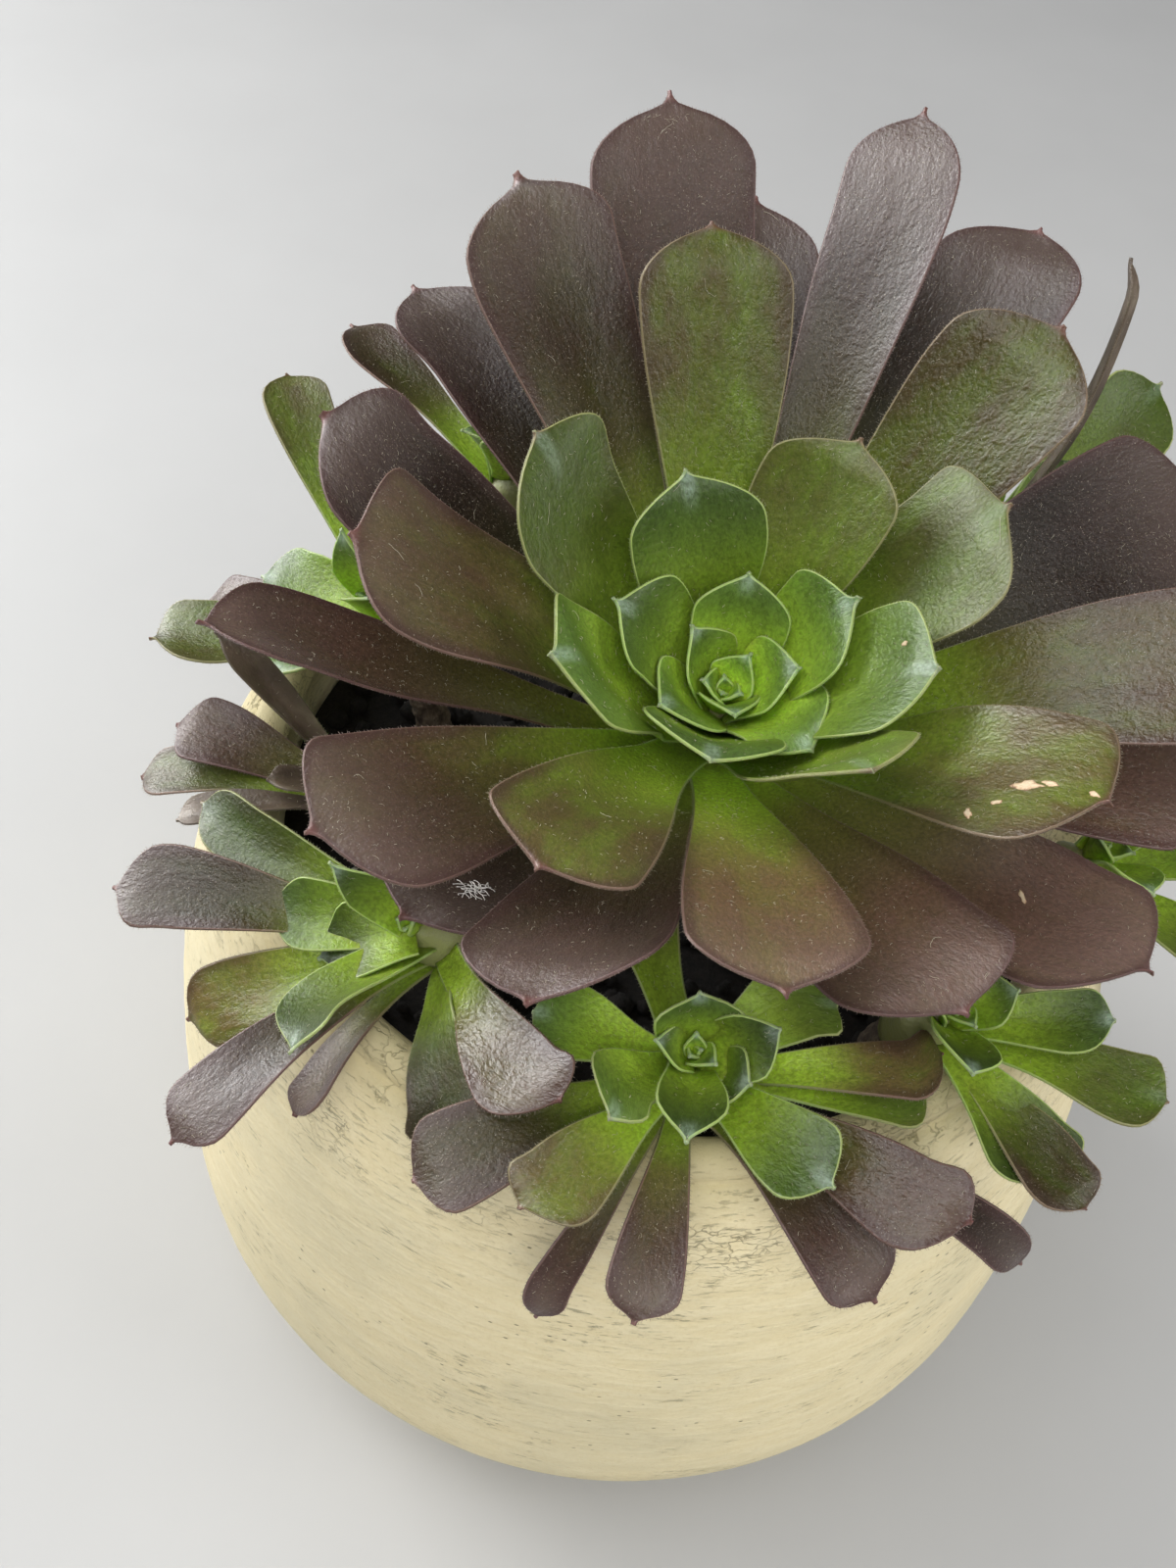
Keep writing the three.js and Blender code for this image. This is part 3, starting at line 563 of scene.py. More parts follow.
def ring_faces(rows, count, closed_ends=True):
    """Quads between rings that follow one another, and strips that close the two end rings."""
    faces = []
    for row in range(rows - 1):
        low, high = row * count, (row + 1) * count
        for side in range(count):
            after = (side + 1) % count
            faces.append((low + side, low + after, high + after, high + side))
    if closed_ends:
        last = (rows - 1) * count
        for low in range(count // 2 - 1):
            high = count - 1 - low
            strip = (low, low + 1, high - 1, high)
            faces.append(strip[::-1])
            faces.append(tuple(last + index for index in strip))
    return faces


def tube(centres, directions, radii, sides):
    """The rings of a round tube, and its faces."""
    reference = np.array([1.0, 0.0, 0.0])
    side = unit(reference - directions * (directions @ reference)[:, None])
    other = np.cross(directions, side)
    angles = round_about(sides)
    ring = side[:, None] * np.cos(angles)[None, :, None] + other[:, None] * np.sin(angles)[None, :, None]
    radii = np.broadcast_to(np.asarray(radii, dtype=float).reshape(len(centres), -1), (len(centres), sides))
    return centres[:, None] + ring * radii[..., None], ring_faces(len(centres), sides)


# Leaves.

def grown(table, row, age):
    return float(np.interp(age, table["age"], table[row]))


def of_leaf(table, rosette, age, usual):
    """What a table says of one leaf, or else what is usual."""
    return table.get(rosette["name"], {}).get(age, usual)


def rosette_frame(rosette):
    """The heart, the axis and the two directions square to it."""
    toward = np.radians(rosette["toward"])
    hinge = np.array([-np.sin(toward), np.cos(toward), 0.0])
    axis, east, north = (turned(direction, hinge, rosette["lean"]) for direction in np.eye(3)[[2, 0, 1]])
    return np.array(rosette["heart"], dtype=float), axis, east, north


def core_depth(rosette):
    return LEAF_SPACING * (rosette["leaves"] - 1) + CORE_FOOT


def core_radius(rosette, below):
    share = np.clip(below / (core_depth(rosette) * CORE_SHOULDER), 0, 1)
    return rosette["core"] * mix(CORE_TIP, 1, share)


def budding(youngness):
    """How far a leaf is one of the heart's pointed ones."""
    return float(smooth((youngness - BUD_YOUNGNESS) / (1 - BUD_YOUNGNESS)))


def widest_at(youngness):
    """Where along a leaf it is widest."""
    return mix(*WIDEST, youngness ** WIDEST_POWER) - BUD_WIDEST * budding(youngness)


def outline(t, youngness, point=1.0, squared=0.0):
    """Half the width of a leaf at t along it, as a share of half its greatest width."""
    widest = widest_at(youngness)
    rising = mix(mix(*ROOT_WIDTH, youngness), 1, smooth(t / widest) ** mix(*SHOULDER, youngness))
    mucro = mix(*MUCRO, youngness) * point
    slope = mix(*SLOPE, youngness) + BUD_SLOPE * budding(youngness)
    squareness = mix(*SQUARENESS, youngness) + (MIDDLE_SQUARENESS * np.sin(np.pi * youngness) + squared)
    squareness = mix(squareness, BUD_SQUARENESS, budding(youngness))
    across = np.linspace(0, 1, OUTLINE_STEPS)
    corner = 1 - (1 - across ** squareness) ** (1 / squareness)
    reach = 1 - mucro * (1 - np.exp(-across / MUCRO_SHARPNESS)) - slope * across ** SLOPE_POWER
    reach -= (reach[-1] - widest) * corner
    closing = np.interp(t, reach[::-1], across[::-1])
    return np.where(t < widest, rising, closing)


class Leaf:
    """One leaf of a rosette: a spoon-shaped blade that follows an arc out of the rosette's axis."""

    def __init__(self, rosette, age, draw):
        growth, own = rosette["growth"], {**NO_NUDGE, **of_leaf(NUDGES, rosette, age, {})}
        heart, self.axis, east, north = rosette_frame(rosette)
        azimuth = np.radians(rosette["first_leaf"] - GOLDEN_ANGLE * age + own["turn"])
        self.age = age
        self.turning = rosette["turning"]
        self.curl = grown(growth, "curl", age) + own["curl"]
        self.length = grown(growth, "length", age) * own["length"]
        self.width = grown(growth, "width", age) * own["width"]
        self.lift = grown(growth, "lift", age) + own["lift"] - self.curl / 2
        self.roll = own["roll"]
        self.fold = own["fold"]
        self.youngness = 1 - float(np.clip(age / growth["youth"], 0, 1))
        self.thickness = rosette["thickness"]
        self.outward = east * np.cos(azimuth) + north * np.sin(azimuth)
        self.across = np.cross(self.axis, self.outward)
        drop = LEAF_SPACING * age
        offset = max(core_radius(rosette, drop) - ROOT_SUNK, LEAST_ROOT_OFFSET)
        self.root = heart + self.outward * offset - self.axis * drop
        self.seed = draw.uniform(0, SEED_RANGE)
        self.waves = draw.uniform(-1, 1, 4) * mix(*WAVES, self.youngness)
        self.bend = draw.uniform(-BEND, BEND)
        self.skew = own["skew"] + draw.uniform(-SKEW, SKEW)
        self.ripening = draw.uniform(-RIPENING, RIPENING) + of_leaf(TONES, rosette, age, 0)
        self.point = draw.uniform(*POINTS)
        self.squared = of_leaf(SQUARED, rosette, age, 0)
        # Painted light and shading of the whole leaf, with some of its own tone.
        self.shade = of_leaf(PAINTED_LIGHT_AND_TONES, rosette, age, 1)
        self.gloss = of_leaf(GLOSSES, rosette, age, GLOSS)
        self.dryness = of_leaf(DRYNESS, rosette, age, 0)
        self.wrinkle = WRINKLE * self.gloss * (self.length > LEAST_WRINKLED)

    def frame_at(self, t):
        """The middle line, the way it runs, the side and the upward direction at each t."""
        climb = np.radians(self.lift + self.curl * t)
        forward = self.outward * np.cos(climb)[:, None] + self.axis * np.sin(climb)[:, None]
        start, rate = np.radians(self.lift), np.radians(self.curl)
        if abs(rate) < LEAST_CURL:
            ahead, above = t * np.cos(start), t * np.sin(start)
        else:
            ahead = (np.sin(climb) - np.sin(start)) / rate
            above = (np.cos(start) - np.cos(climb)) / rate
        middle = self.root + self.length * (self.outward * ahead[:, None] + self.axis * above[:, None])
        side = turned(self.across, forward, self.roll * smooth(t / ROLL_REACH))
        up = np.cross(forward, side)
        return middle + side * (self.bend * self.length * t * t)[:, None], forward, side, up

    def half_at(self, t):
        half = self.width / 2 * outline(t, self.youngness, self.point, self.squared)
        return np.maximum(half, LEAST_HALF_WIDTH)

    def belly_at(self, t):
        return np.maximum(self.thickness * (1 - TIP_THINNING * t), EDGE_THICKNESS) / 2

    def skin_at(self, t, share):
        """How high the skin lies over the leaf's middle sheet."""
        return mix(EDGE_THICKNESS / 2, self.belly_at(t), 1 - share ** 2)

    def surface(self, t, share, height):
        """Points at t along the leaf and share (-1 to 1) across it, at a height over its middle sheet."""
        middle, _, side, up = self.frame_at(t)
        widest = widest_at(self.youngness)
        full = self.width / 2 * outline(np.minimum(t, widest), self.youngness)
        cup = mix(*CUP, self.youngness) * (1 - CUP_FLATTENING * smooth(2 * t - 1)) * self.fold
        lateral = self.half_at(t) * share
        place = np.abs(lateral) / full
        rise = cup * full * place ** CUP_POWER
        twist, edges, sway = (wave * np.sin(rate * t + number * self.seed)
                              for number, (wave, rate) in enumerate(zip(self.waves, RIPPLES), 1))
        slanting = self.waves[3] * np.sin(SLANTING_RIPPLE[0] * lateral / self.width + SLANTING_RIPPLE[1] * t)
        ripple = twist * share + edges * place ** 2 + (sway + slanting)
        rise += ripple * self.width * smooth(ROOT_EASING * t) * RIPPLE_HEIGHT
        first, second, third, fourth = (
            np.sin(aside * lateral + ahead * (t * self.length) + phase * self.seed)
            for aside, ahead, phase in WRINKLE_WAVES)
        crinkle = first * second + FINE_WRINKLE * third * fourth
        rise += self.wrinkle * crinkle * smooth(ROOT_EASING * t - WRINKLE_START)
        old, young = (smooth((t - start) / reach) ** power for start, reach, power in (OLD_TIP, YOUNG_TIP))
        recurve = -mix(*RECURVE, self.youngness) * self.length * mix(old, young, self.youngness)
        recurve = recurve * (1 - EDGE_RECURVE * place)
        lateral = lateral + self.skew * full * smooth((t - widest + SKEW_REACH) / (1 - widest + SKEW_REACH))
        return middle + side * lateral[:, None] + up * (rise + height + recurve)[:, None]

    def ripeness(self, t, share):
        root, tip = grown(self.turning, "root", self.age), grown(self.turning, "tip", self.age)
        value = mix(root, tip, smooth((t - TURNING_START) / TURNING_REACH))
        edges = EDGE_RIPENESS * smooth(t * EDGE_RATE - EDGE_START) * np.abs(share) ** EDGE_NARROWNESS
        value += edges * min(tip * EDGE_ONSET, 1)
        return np.clip(value + self.ripening * min(tip * OWN_ONSET, 1) * smooth(2 * t), 0, 1)


def add_blade(body, leaf, grid):
    """The closed fine blade of a leaf, with rounded edges."""
    rows, columns = grid
    rows = max(rows if leaf.length > SHORT_LEAF else rows * 2 // 3, LEAST_ROWS)
    count = 2 * columns + 2
    t = 1 - (1 - np.linspace(0, 1, rows)) ** ROW_CROWDING
    across = np.sin(np.linspace(1, -1, columns) * np.pi / 2)
    share = np.tile(np.concatenate([[1], across, [-1], across[::-1]]), rows)
    face = np.tile(np.concatenate([[0], np.ones(columns), [0], -np.ones(columns)]), rows)
    half, belly, t = (np.repeat(values, count) for values in (leaf.half_at(t), leaf.belly_at(t), t))
    rim = EDGE_THICKNESS / 2
    points = leaf.surface(t, share, face * mix(rim, np.maximum(belly, rim), 1 - share ** 2))
    _, _, side, _ = leaf.frame_at(t)
    points = points + side * np.where(face == 0, share * rim * EDGE_ROUNDING, 0)[:, None]
    edge_distance = np.minimum((1 - np.abs(share)) * half, (1 - t) * leaf.length * TIP_NEARNESS)
    places = np.stack([share * half, t * leaf.length, leaf.seed + UNDERSIDE_SHIFT * face], axis=1)
    body.add(points, ring_faces(rows, count), places=places, edge_distance=edge_distance,
             ripeness=leaf.ripeness(t, share), reach=t, dryness=leaf.dryness, gloss=leaf.gloss,
             shade=leaf.shade)


def add_cilia(body, leaf, draw):
    """Short stiff hairs all along both edges of a leaf, each a slim four-faced spike."""
    t = np.linspace(*CILIA_SPAN, CILIA_STEPS)
    for sign in (1.0, -1.0):
        steps = np.linalg.norm(np.diff(leaf.surface(t, sign, 0), axis=0), axis=1)
        reach = np.concatenate([[0], np.cumsum(steps)])
        number = int(reach[-1] / CILIUM_SPACING)
        at = np.interp((np.arange(number) + draw.uniform(*CILIUM_JITTER, number)) * CILIUM_SPACING, reach, t)
        base = leaf.surface(at, sign, 0)
        outward = base - leaf.surface(at, sign * INNER_EDGE, 0)
        _, forward, _, up = leaf.frame_at(at)
        ahead = leaf.surface(np.minimum(at + CILIUM_STEP, 1), sign, 0)
        tangent = unit(ahead - base + forward * LEAST_TANGENT)
        away = unit(np.cross(tangent, up) * sign)
        away = np.where(np.sum(away * outward, axis=1, keepdims=True) < 0, -away, away)
        direction = unit(away + tangent * CILIUM_SLANT + draw.normal(0, CILIUM_SPREAD, (number, 3)))
        length = CILIUM_LENGTH * draw.uniform(*CILIA_LENGTHS, number) * mix(1.0, YOUNG_CILIA, leaf.youngness)
        base = base + away * EDGE_THICKNESS * CILIUM_OUTSET
        corners = [base + (tangent * np.cos(angle) + up * np.sin(angle)) * CILIUM_RADIUS
                   for angle in np.radians((0, 120, 240))]
        faces = []
        for first in range(0, 4 * number, 4):
            a, b, c, d = range(first, first + 4)
            faces += [(a, b, d), (b, c, d), (c, a, d), (a, c, b)]
        body.add(np.stack([*corners, base + direction * length[:, None]], axis=1), faces, slot=1,
                 ripeness=np.repeat(leaf.ripeness(at, sign), 4))


def add_core(body, rosette):
    """The stem's blunt green end inside a rosette."""
    heart, axis, _, _ = rosette_frame(rosette)
    below = np.linspace(core_depth(rosette), 0, CORE_ROWS)
    centres = heart - axis * below[:, None]
    directions = np.broadcast_to(axis, centres.shape)
    rings, faces = tube(centres, directions, core_radius(rosette, below), CORE_SIDES)
    body.add(rings, faces, ripeness=0.3, reach=0.1)


def add_lint(body, leaf, draw, number, kind, around=None, slot=0):
    """Fine pale curly hairs and fibres that lie on a leaf, all over it or around one place."""
    steps, radius = kind["steps"], kind["radius"]
    for _ in range(number):
        t0, share0 = draw.uniform(*LINT_REACH), draw.uniform(-LINT_SIDE, LINT_SIDE)
        if around:
            t0, share0 = around + draw.normal(0, (FLUFF_SPREAD, 2 * FLUFF_SPREAD))
        size = draw.uniform(*kind["length"])
        turn = draw.normal(0, CURLINESS / steps ** 0.5, steps).cumsum() + draw.uniform(0, 2 * np.pi)
        t = np.clip(t0 + np.cumsum(np.cos(turn)) * size / steps / leaf.length, *LINT_SPAN)
        half = leaf.half_at(np.array([t0]))[0]
        share = np.clip(share0 + np.cumsum(np.sin(turn)) * size / steps / half, -LINT_EDGE, LINT_EDGE)
        arch = LINT_ARCH * np.sin(np.linspace(0, np.pi, steps)) * draw.uniform(0, 1)
        line = leaf.surface(t, share, leaf.skin_at(t, share) + radius + arch)
        if np.min(np.linalg.norm(np.diff(line, axis=0), axis=1)) < LEAST_STEP:
            continue
        rings, faces = tube(line, unit(np.gradient(line, axis=0)), np.full(steps, radius), LINT_SIDES)
        body.add(rings, faces, slot=slot)


def add_scar(body, leaf, draw, t, share, length, width, slant):
    """A healed corky scar on a leaf: a low ragged plate with a darker rim."""
    ragged = draw.uniform(*SCAR_RAGGEDNESS, SCAR_SIDES)
    turn = np.radians(slant)
    half = leaf.half_at(np.array([t]))[0]
    ring, lift = np.repeat(SCAR_RINGS, SCAR_SIDES, axis=0).T
    ragged, angles = (np.tile(values, len(SCAR_RINGS)) for values in (ragged, round_about(SCAR_SIDES)))
    along = ring * ragged * np.cos(angles) * length / 2
    aside = ring * ragged * np.sin(angles) * width / 2
    ts = t + (along * np.cos(turn) - aside * np.sin(turn)) / leaf.length
    shares = share + (along * np.sin(turn) + aside * np.cos(turn)) / half
    faces = ring_faces(len(SCAR_RINGS), SCAR_SIDES, closed_ends=False)
    faces.append(range(len(ring) - SCAR_SIDES, len(ring)))
    body.add(leaf.surface(ts, shares, leaf.skin_at(ts, shares) + lift), faces, slot=1, reach=ring)


def make_rosette(rosette, looks, lint):
    draw = np.random.default_rng(SEED + sum(map(ord, rosette["name"])))
    body = Body()
    for age in range(rosette["leaves"]):
        leaf = Leaf(rosette, age, draw)
        if age in rosette["lost"]:
            continue
        add_blade(body, leaf, rosette["grid"])
        add_cilia(body, leaf, draw)
        area = leaf.length * leaf.width * mix(1, YOUNG_FUZZ, leaf.youngness)
        add_lint(lint, leaf, draw, int(area * FUZZ["density"] * draw.uniform(*FUZZ["chance"])), FUZZ)
        add_lint(lint, leaf, draw, int(area * FIBRES["density"] * draw.uniform(*FIBRES["chance"])), FIBRES)
        marks = np.random.default_rng(SEED + age)
        add_lint(lint, leaf, marks, int(area * DOWN["density"]), DOWN)
        for scar in of_leaf(SCARS, rosette, age, ()):
            add_scar(lint, leaf, marks, *scar)
        for place in of_leaf(TANGLES, rosette, age, ()):
            add_lint(lint, leaf, marks, FLUFF_HAIRS, FLUFF, place, slot=2)
    if 0 not in rosette["lost"]:
        for step, share in enumerate(BUD_LENGTHS, 1):
            leaf = Leaf(rosette, -step, draw)
            leaf.length *= share
            leaf.width *= share
            leaf.lift += BUD_LIFT * step
            add_blade(body, leaf, BUD_GRID)
            add_cilia(body, leaf, draw)
    add_core(body, rosette)
    piece = body.make(f"leaves_{rosette['name']}", [looks["leaf"], looks["hair"]])
    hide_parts(f"rosette_{rosette['name']}")


# Stems.

def stem_path(rosette):
    heart, axis, _, _ = rosette_frame(rosette)
    top = heart - axis * (core_depth(rosette) + CLEARANCE)
    foot = top - axis * ((top[2] - SOIL_TOP) * STEM_BEND)
    return top, np.array([foot[0], foot[1], SOIL_TOP])


def make_stem(rosette, looks):
    """A woody stem with the rings of its lost leaves, upright in its hole and bent up to its rosette."""
    top, foot = stem_path(rosette)
    ground = foot + (0, 0, 1)
    control = np.array([foot[0], foot[1], mix(SOIL_TOP, top[2], 0.5)])
    share = np.linspace(0, 1, STEM_ROWS)[:, None]
    bent = ground * (1 - share) ** 2 + control * 2 * share * (1 - share) + top * share ** 2
    slope = (control - ground) * 2 * (1 - share) + (top - control) * 2 * share
    buried = np.array([-STEM_DEPTH, -STEM_DEPTH / 2])
    centres = np.concatenate([foot + buried[:, None] * (0, 0, 1), bent])
    directions = unit(np.concatenate([np.tile([0.0, 0, 1], (2, 1)), slope]))
    radius = rosette["stem_radius"] * np.concatenate([[1, 1], mix(1, STEM_TOP_TAPER, share[:, 0])])
    height = np.concatenate([buried, np.linspace(0, np.linalg.norm(top - ground), STEM_ROWS)])
    above = np.clip(height / SMOOTH_GROUND, 0, 1)
    rings, _ = tube(centres, directions, radius, STEM_SIDES)
    rough = noise_at(rings.reshape(-1, 3), *BARK_GRAIN, rosette["stem_radius"]).reshape(rings.shape[:2])
    scars = np.abs(np.sin(height * RING_RATE))[:, None] ** RING_SHARPNESS
    relief = (BARK_RELIEF * rough - RING_RELIEF + RING_RELIEF * scars) * above[:, None]
    body = Body()
    body.add(*tube(centres, directions, radius[:, None] + relief, STEM_SIDES))
    piece = body.make(f"bark_{rosette['name']}", [looks["bark"]])
    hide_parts(f"stem_{rosette['name']}")


# Pot and soil.

def quarter(rows, roundness):
    """The sides of a rounded quarter turn, the one rising from 0 to 1 and the other falling."""
    angles = np.linspace(0, np.pi / 2, rows)
    return np.sin(angles) ** (2 / roundness), np.cos(angles) ** (2 / roundness)


def pot_outside():
    """The pot's outside from the foot to the lip: two rounded quarters that meet at the belly."""
    out, down = quarter(POT_ROWS // 2, POT_LOWER_ROUNDNESS)
    low_part = np.stack([mix(POT_FOOT_RADIUS, POT_RADIUS, out), POT_BELLY_HEIGHT * (1 - down)], axis=1)
    rise, out = quarter(POT_ROWS, POT_UPPER_ROUNDNESS)
    height = mix(POT_BELLY_HEIGHT, POT_HEIGHT - POT_LIP, rise)
    high_part = np.stack([mix(POT_RIM_RADIUS, POT_RADIUS, out), height], axis=1)
    return np.concatenate([low_part, high_part[1:]])


def inside_radius(height):
    profile = pot_outside()
    radius = np.interp(height, profile[:, 1], profile[:, 0]) - POT_WALL
    return min(radius, POT_MOUTH_RADIUS) if height >= SOIL_TOP else radius


def revolved(profile, sides):
    """A closed body turned about the upright axis from a profile of radius and height, ends on the axis."""
    angles = round_about(sides)
    inner = profile[1:-1]
    rings = np.stack([inner[:, :1] * np.cos(angles), inner[:, :1] * np.sin(angles),
                      np.repeat(inner[:, 1:], sides, axis=1)], axis=2)
    count = len(inner) * sides
    points = np.concatenate([rings.reshape(-1, 3), [[0, 0, profile[0][1]], [0, 0, profile[-1][1]]]])
    faces = ring_faces(len(inner), sides, closed_ends=False)
    last = count - sides
    for side in range(sides):
        after = (side + 1) % sides
        faces.append((count, after, side))
        faces.append((count + 1, last + side, last + after))
    return points, faces


def make_pot(looks):
    lip_angles = np.radians(np.linspace(10, 180, LIP_ROWS))
    lip_radius = (POT_RIM_RADIUS - POT_MOUTH_RADIUS) / 2
    lip = np.stack([POT_MOUTH_RADIUS + lip_radius * (1 + np.cos(lip_angles)),
                    POT_HEIGHT - POT_LIP + POT_LIP * np.sin(lip_angles)], axis=1)
    inside = [(inside_radius(height), height) for height in INSIDE_HEIGHTS]
    bottom = [(POT_FOOT_RADIUS * share, 0) for share in POT_FOOT_ROWS]
    profile = np.concatenate([bottom, pot_outside(), lip, inside, [(0, POT_FLOOR)]])
    points, faces = revolved(profile, POT_SIDES)
    radius = np.linalg.norm(points[:, :2], axis=1)
    throwing = noise_at(points * (1, 1, THROWING_STRETCH), *THROWING)
    relief = throwing * POT_RELIEF + noise_at(points, *BULGES) * POT_RELIEF
    seen = np.clip(points[:, 2] / SMOOTH_FOOT, 0, 1) * (radius > POT_MOUTH_RADIUS - SMOOTH_INSIDE)
    outward = points / np.maximum(radius, 1)[:, None]
    outward[:, 2] = np.clip((points[:, 2] - POT_HEIGHT + POT_LIP) / POT_LIP, 0, 1)
    body = Body()
    body.add(points + outward * np.minimum(relief * seen, MOST_RELIEF)[:, None], faces)
    piece = body.make("limewashed_pot", [looks["limewash"]])
    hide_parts("pot")


def crumb(draw, size):
    """A rough lump about the origin."""
    angles = round_about(CRUMB_SIDES)
    rings = []
    for polar in CRUMB_RINGS:
        radius = size * draw.uniform(*CRUMB_RAGGEDNESS, CRUMB_SIDES)
        out = radius * np.sin(polar)
        height = -radius * np.cos(polar) * CRUMB_FLATNESS
        rings.append(np.stack([out * np.cos(angles), out * np.sin(angles), height], axis=1))
    count = len(rings) * CRUMB_SIDES
    caps = [range(CRUMB_SIDES - 1, -1, -1), range(count - CRUMB_SIDES, count)]
    return np.concatenate(rings), ring_faces(len(rings), CRUMB_SIDES, closed_ends=False) + caps


def make_soil(looks):
    """The soil's uneven top with crumbs and a few pale grains of perlite, and its plain sides in the pot."""
    draw = np.random.default_rng(SEED)
    edge = POT_MOUTH_RADIUS - SOIL_GAP
    wall = [(inside_radius(height) - SOIL_GAP, height) for height in SOIL_HEIGHTS]
    top = [(edge * (1 - (row / SOIL_ROWS)), SOIL_TOP) for row in range(SOIL_ROWS)]
    profile = np.array([(0, POT_FLOOR + CLEARANCE), *wall, *top, (0, SOIL_TOP)], dtype=float)
    points, faces = revolved(profile, SOIL_SIDES)
    on_top = points[:, 2] >= SOIL_TOP - 0.01
    inner = np.clip((edge - np.linalg.norm(points[:, :2], axis=1)) / SOIL_EDGE, 0, 1)
    points[:, 2] += on_top * inner * (SOIL_RELIEF * noise_at(points, *SOIL_LUMPS) + SOIL_RISE)
    body = Body()
    body.add(points, faces)
    for index in range(CRUMBS + GRIT):
        pale = index >= CRUMBS
        size = draw.uniform(*GRIT_SIZE) if pale else draw.gamma(*CRUMB_SIZE) + LEAST_CRUMB
        radius = (edge - CRUMB_MARGIN) * np.sqrt(draw.uniform(0.05, 1))
        angle = draw.uniform(0, 2 * np.pi)
        lump, lump_faces = crumb(draw, min(size, LARGEST_CRUMB))
        height = SOIL_TOP + CRUMB_RISE + size * CRUMB_STANDING
        place = np.array([radius * np.cos(angle), radius * np.sin(angle), height])
        body.add(lump + place, lump_faces, slot=int(pale))
    piece = body.make("potting_soil", [looks["soil"], looks["perlite"]])
    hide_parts("soil")


# Materials. Patterns are in millimetres, and the depths of bumps and under the skin are in metres.

class Value:
    """What a node gives at each point of a surface, and what can be made from it."""

    def __init__(self, look, socket):
        self.look, self.socket = look, socket

    def math(self, operation, other=0.0):
        return self.look.node("ShaderNodeMath", {0: self, 1: other}, operation=operation)

    def __add__(self, other):
        return self.math("ADD", other)

    def __sub__(self, other):
        return self.math("SUBTRACT", other)

    def __mul__(self, other):
        return self.math("MULTIPLY", other)

    def vector(self, operation, inputs):
        return self.look.node("ShaderNodeVectorMath", {0: self, **inputs}, operation=operation)

    def stretched(self, *scale):
        return self.vector("MULTIPLY", {1: scale})

    def part(self, index):
        return self.look.node("ShaderNodeSeparateXYZ", {0: self}, index)

    def span(self, low, high, to_low=0.0, to_high=1.0):
        """The value between low and high, turned smoothly into another span."""
        inputs = {0: self, 1: low, 2: high, 3: to_low, 4: to_high}
        return self.look.node("ShaderNodeMapRange", inputs, interpolation_type="SMOOTHSTEP")

    def noise(self, scale, detail=3.0, rough=0.55, distortion=0.0):
        shape = {"Detail": detail, "Roughness": rough, "Distortion": distortion}
        return self.look.node("ShaderNodeTexNoise", {"Vector": self, "Scale": scale, **shape}, "Fac")

    def cells(self, scale, output="Distance", feature="F1"):
        inputs = {"Vector": self, "Scale": scale}
        return self.look.node("ShaderNodeTexVoronoi", inputs, output, feature=feature)

    def dots(self, scale, size, chosen):
        """A round dot in some of the cells: its greatest and least radius, and which cells have one."""
        return self.cells(scale).span(*size) * self.cells(scale, "Color").span(*chosen)

    def ramp(self, stops):
        result = self.look.node("ShaderNodeValToRGB", {0: self})
        elements = result.socket.node.color_ramp.elements
        while len(elements) < len(stops):
            elements.new(0.5)
        for element, (position, color) in zip(elements, stops):
            element.position = position
            element.color = (*color, 1)
        return result

    def bump(self, distance, strength):
        return self.look.node("ShaderNodeBump", {"Height": self, "Distance": distance, "Strength": strength})


class Look:
    """A material that is built from nodes."""

    def __init__(self, name):
        self.material = bpy.data.materials.new(name)
        self.material.use_nodes = True
        self.tree = self.material.node_tree
        self.shader = self.tree.nodes["Principled BSDF"]

    def node(self, kind, inputs=(), output=0, **settings):
        """A new node's output, with its settings made and its inputs fed."""
        node = self.tree.nodes.new(kind)
        for key, value in settings.items():
            setattr(node, key, value)
        for key, value in dict(inputs).items():
            self.feed(node.inputs[key], value)
        return Value(self, node.outputs[output])

    def feed(self, socket, value):
        if isinstance(value, Value):
            self.tree.links.new(value.socket, socket)
        else:
            socket.default_value = (*value, 1) if socket.type == "RGBA" else value

    def attribute(self, name, output="Fac"):
        return self.node("ShaderNodeAttribute", output=output, attribute_name=name)

    def place_mm(self):
        return self.node("ShaderNodeTexCoord", output="Object").stretched(1000, 1000, 1000)

    def blend(self, share, first, second):
        return self.node("ShaderNodeMix", {0: share, 6: first, 7: second}, 2, data_type="RGBA")

    def coated(self, base, tints, **shares):
        """A colour under one coat after another, each with its share and the tint of its name."""
        for name, share in shares.items():
            base = self.blend(share, base, tints[name])
        return base

    def finish(self, **values):
        """The material, with the shader fed by the names of its inputs."""
        for key, value in values.items():
            self.feed(self.shader.inputs[key.replace("_", " ")], value)
        return self.material


# Colours by ripeness, from green to dark: the leaves, their rims and their hairs.
LEAF_STOPS = [
    (0.0, (0.34, 0.5, 0.055)),
    (0.12, (0.27, 0.4, 0.042)),
    (0.34, (0.175, 0.21, 0.036)),
    (0.56, (0.122, 0.1, 0.033)),
    (0.78, (0.094, 0.06, 0.031)),
    (1.0, (0.078, 0.044, 0.031)),
]
EDGE_STOPS = [(0.0, (0.45, 0.58, 0.2)), (0.3, (0.34, 0.35, 0.15)), (0.6, (0.24, 0.155, 0.115)),
              (1.0, (0.17, 0.1, 0.09))]
HAIR_STOPS = [(0.0, (0.5, 0.57, 0.32)), (0.45, (0.42, 0.38, 0.26)), (1.0, (0.36, 0.27, 0.24))]

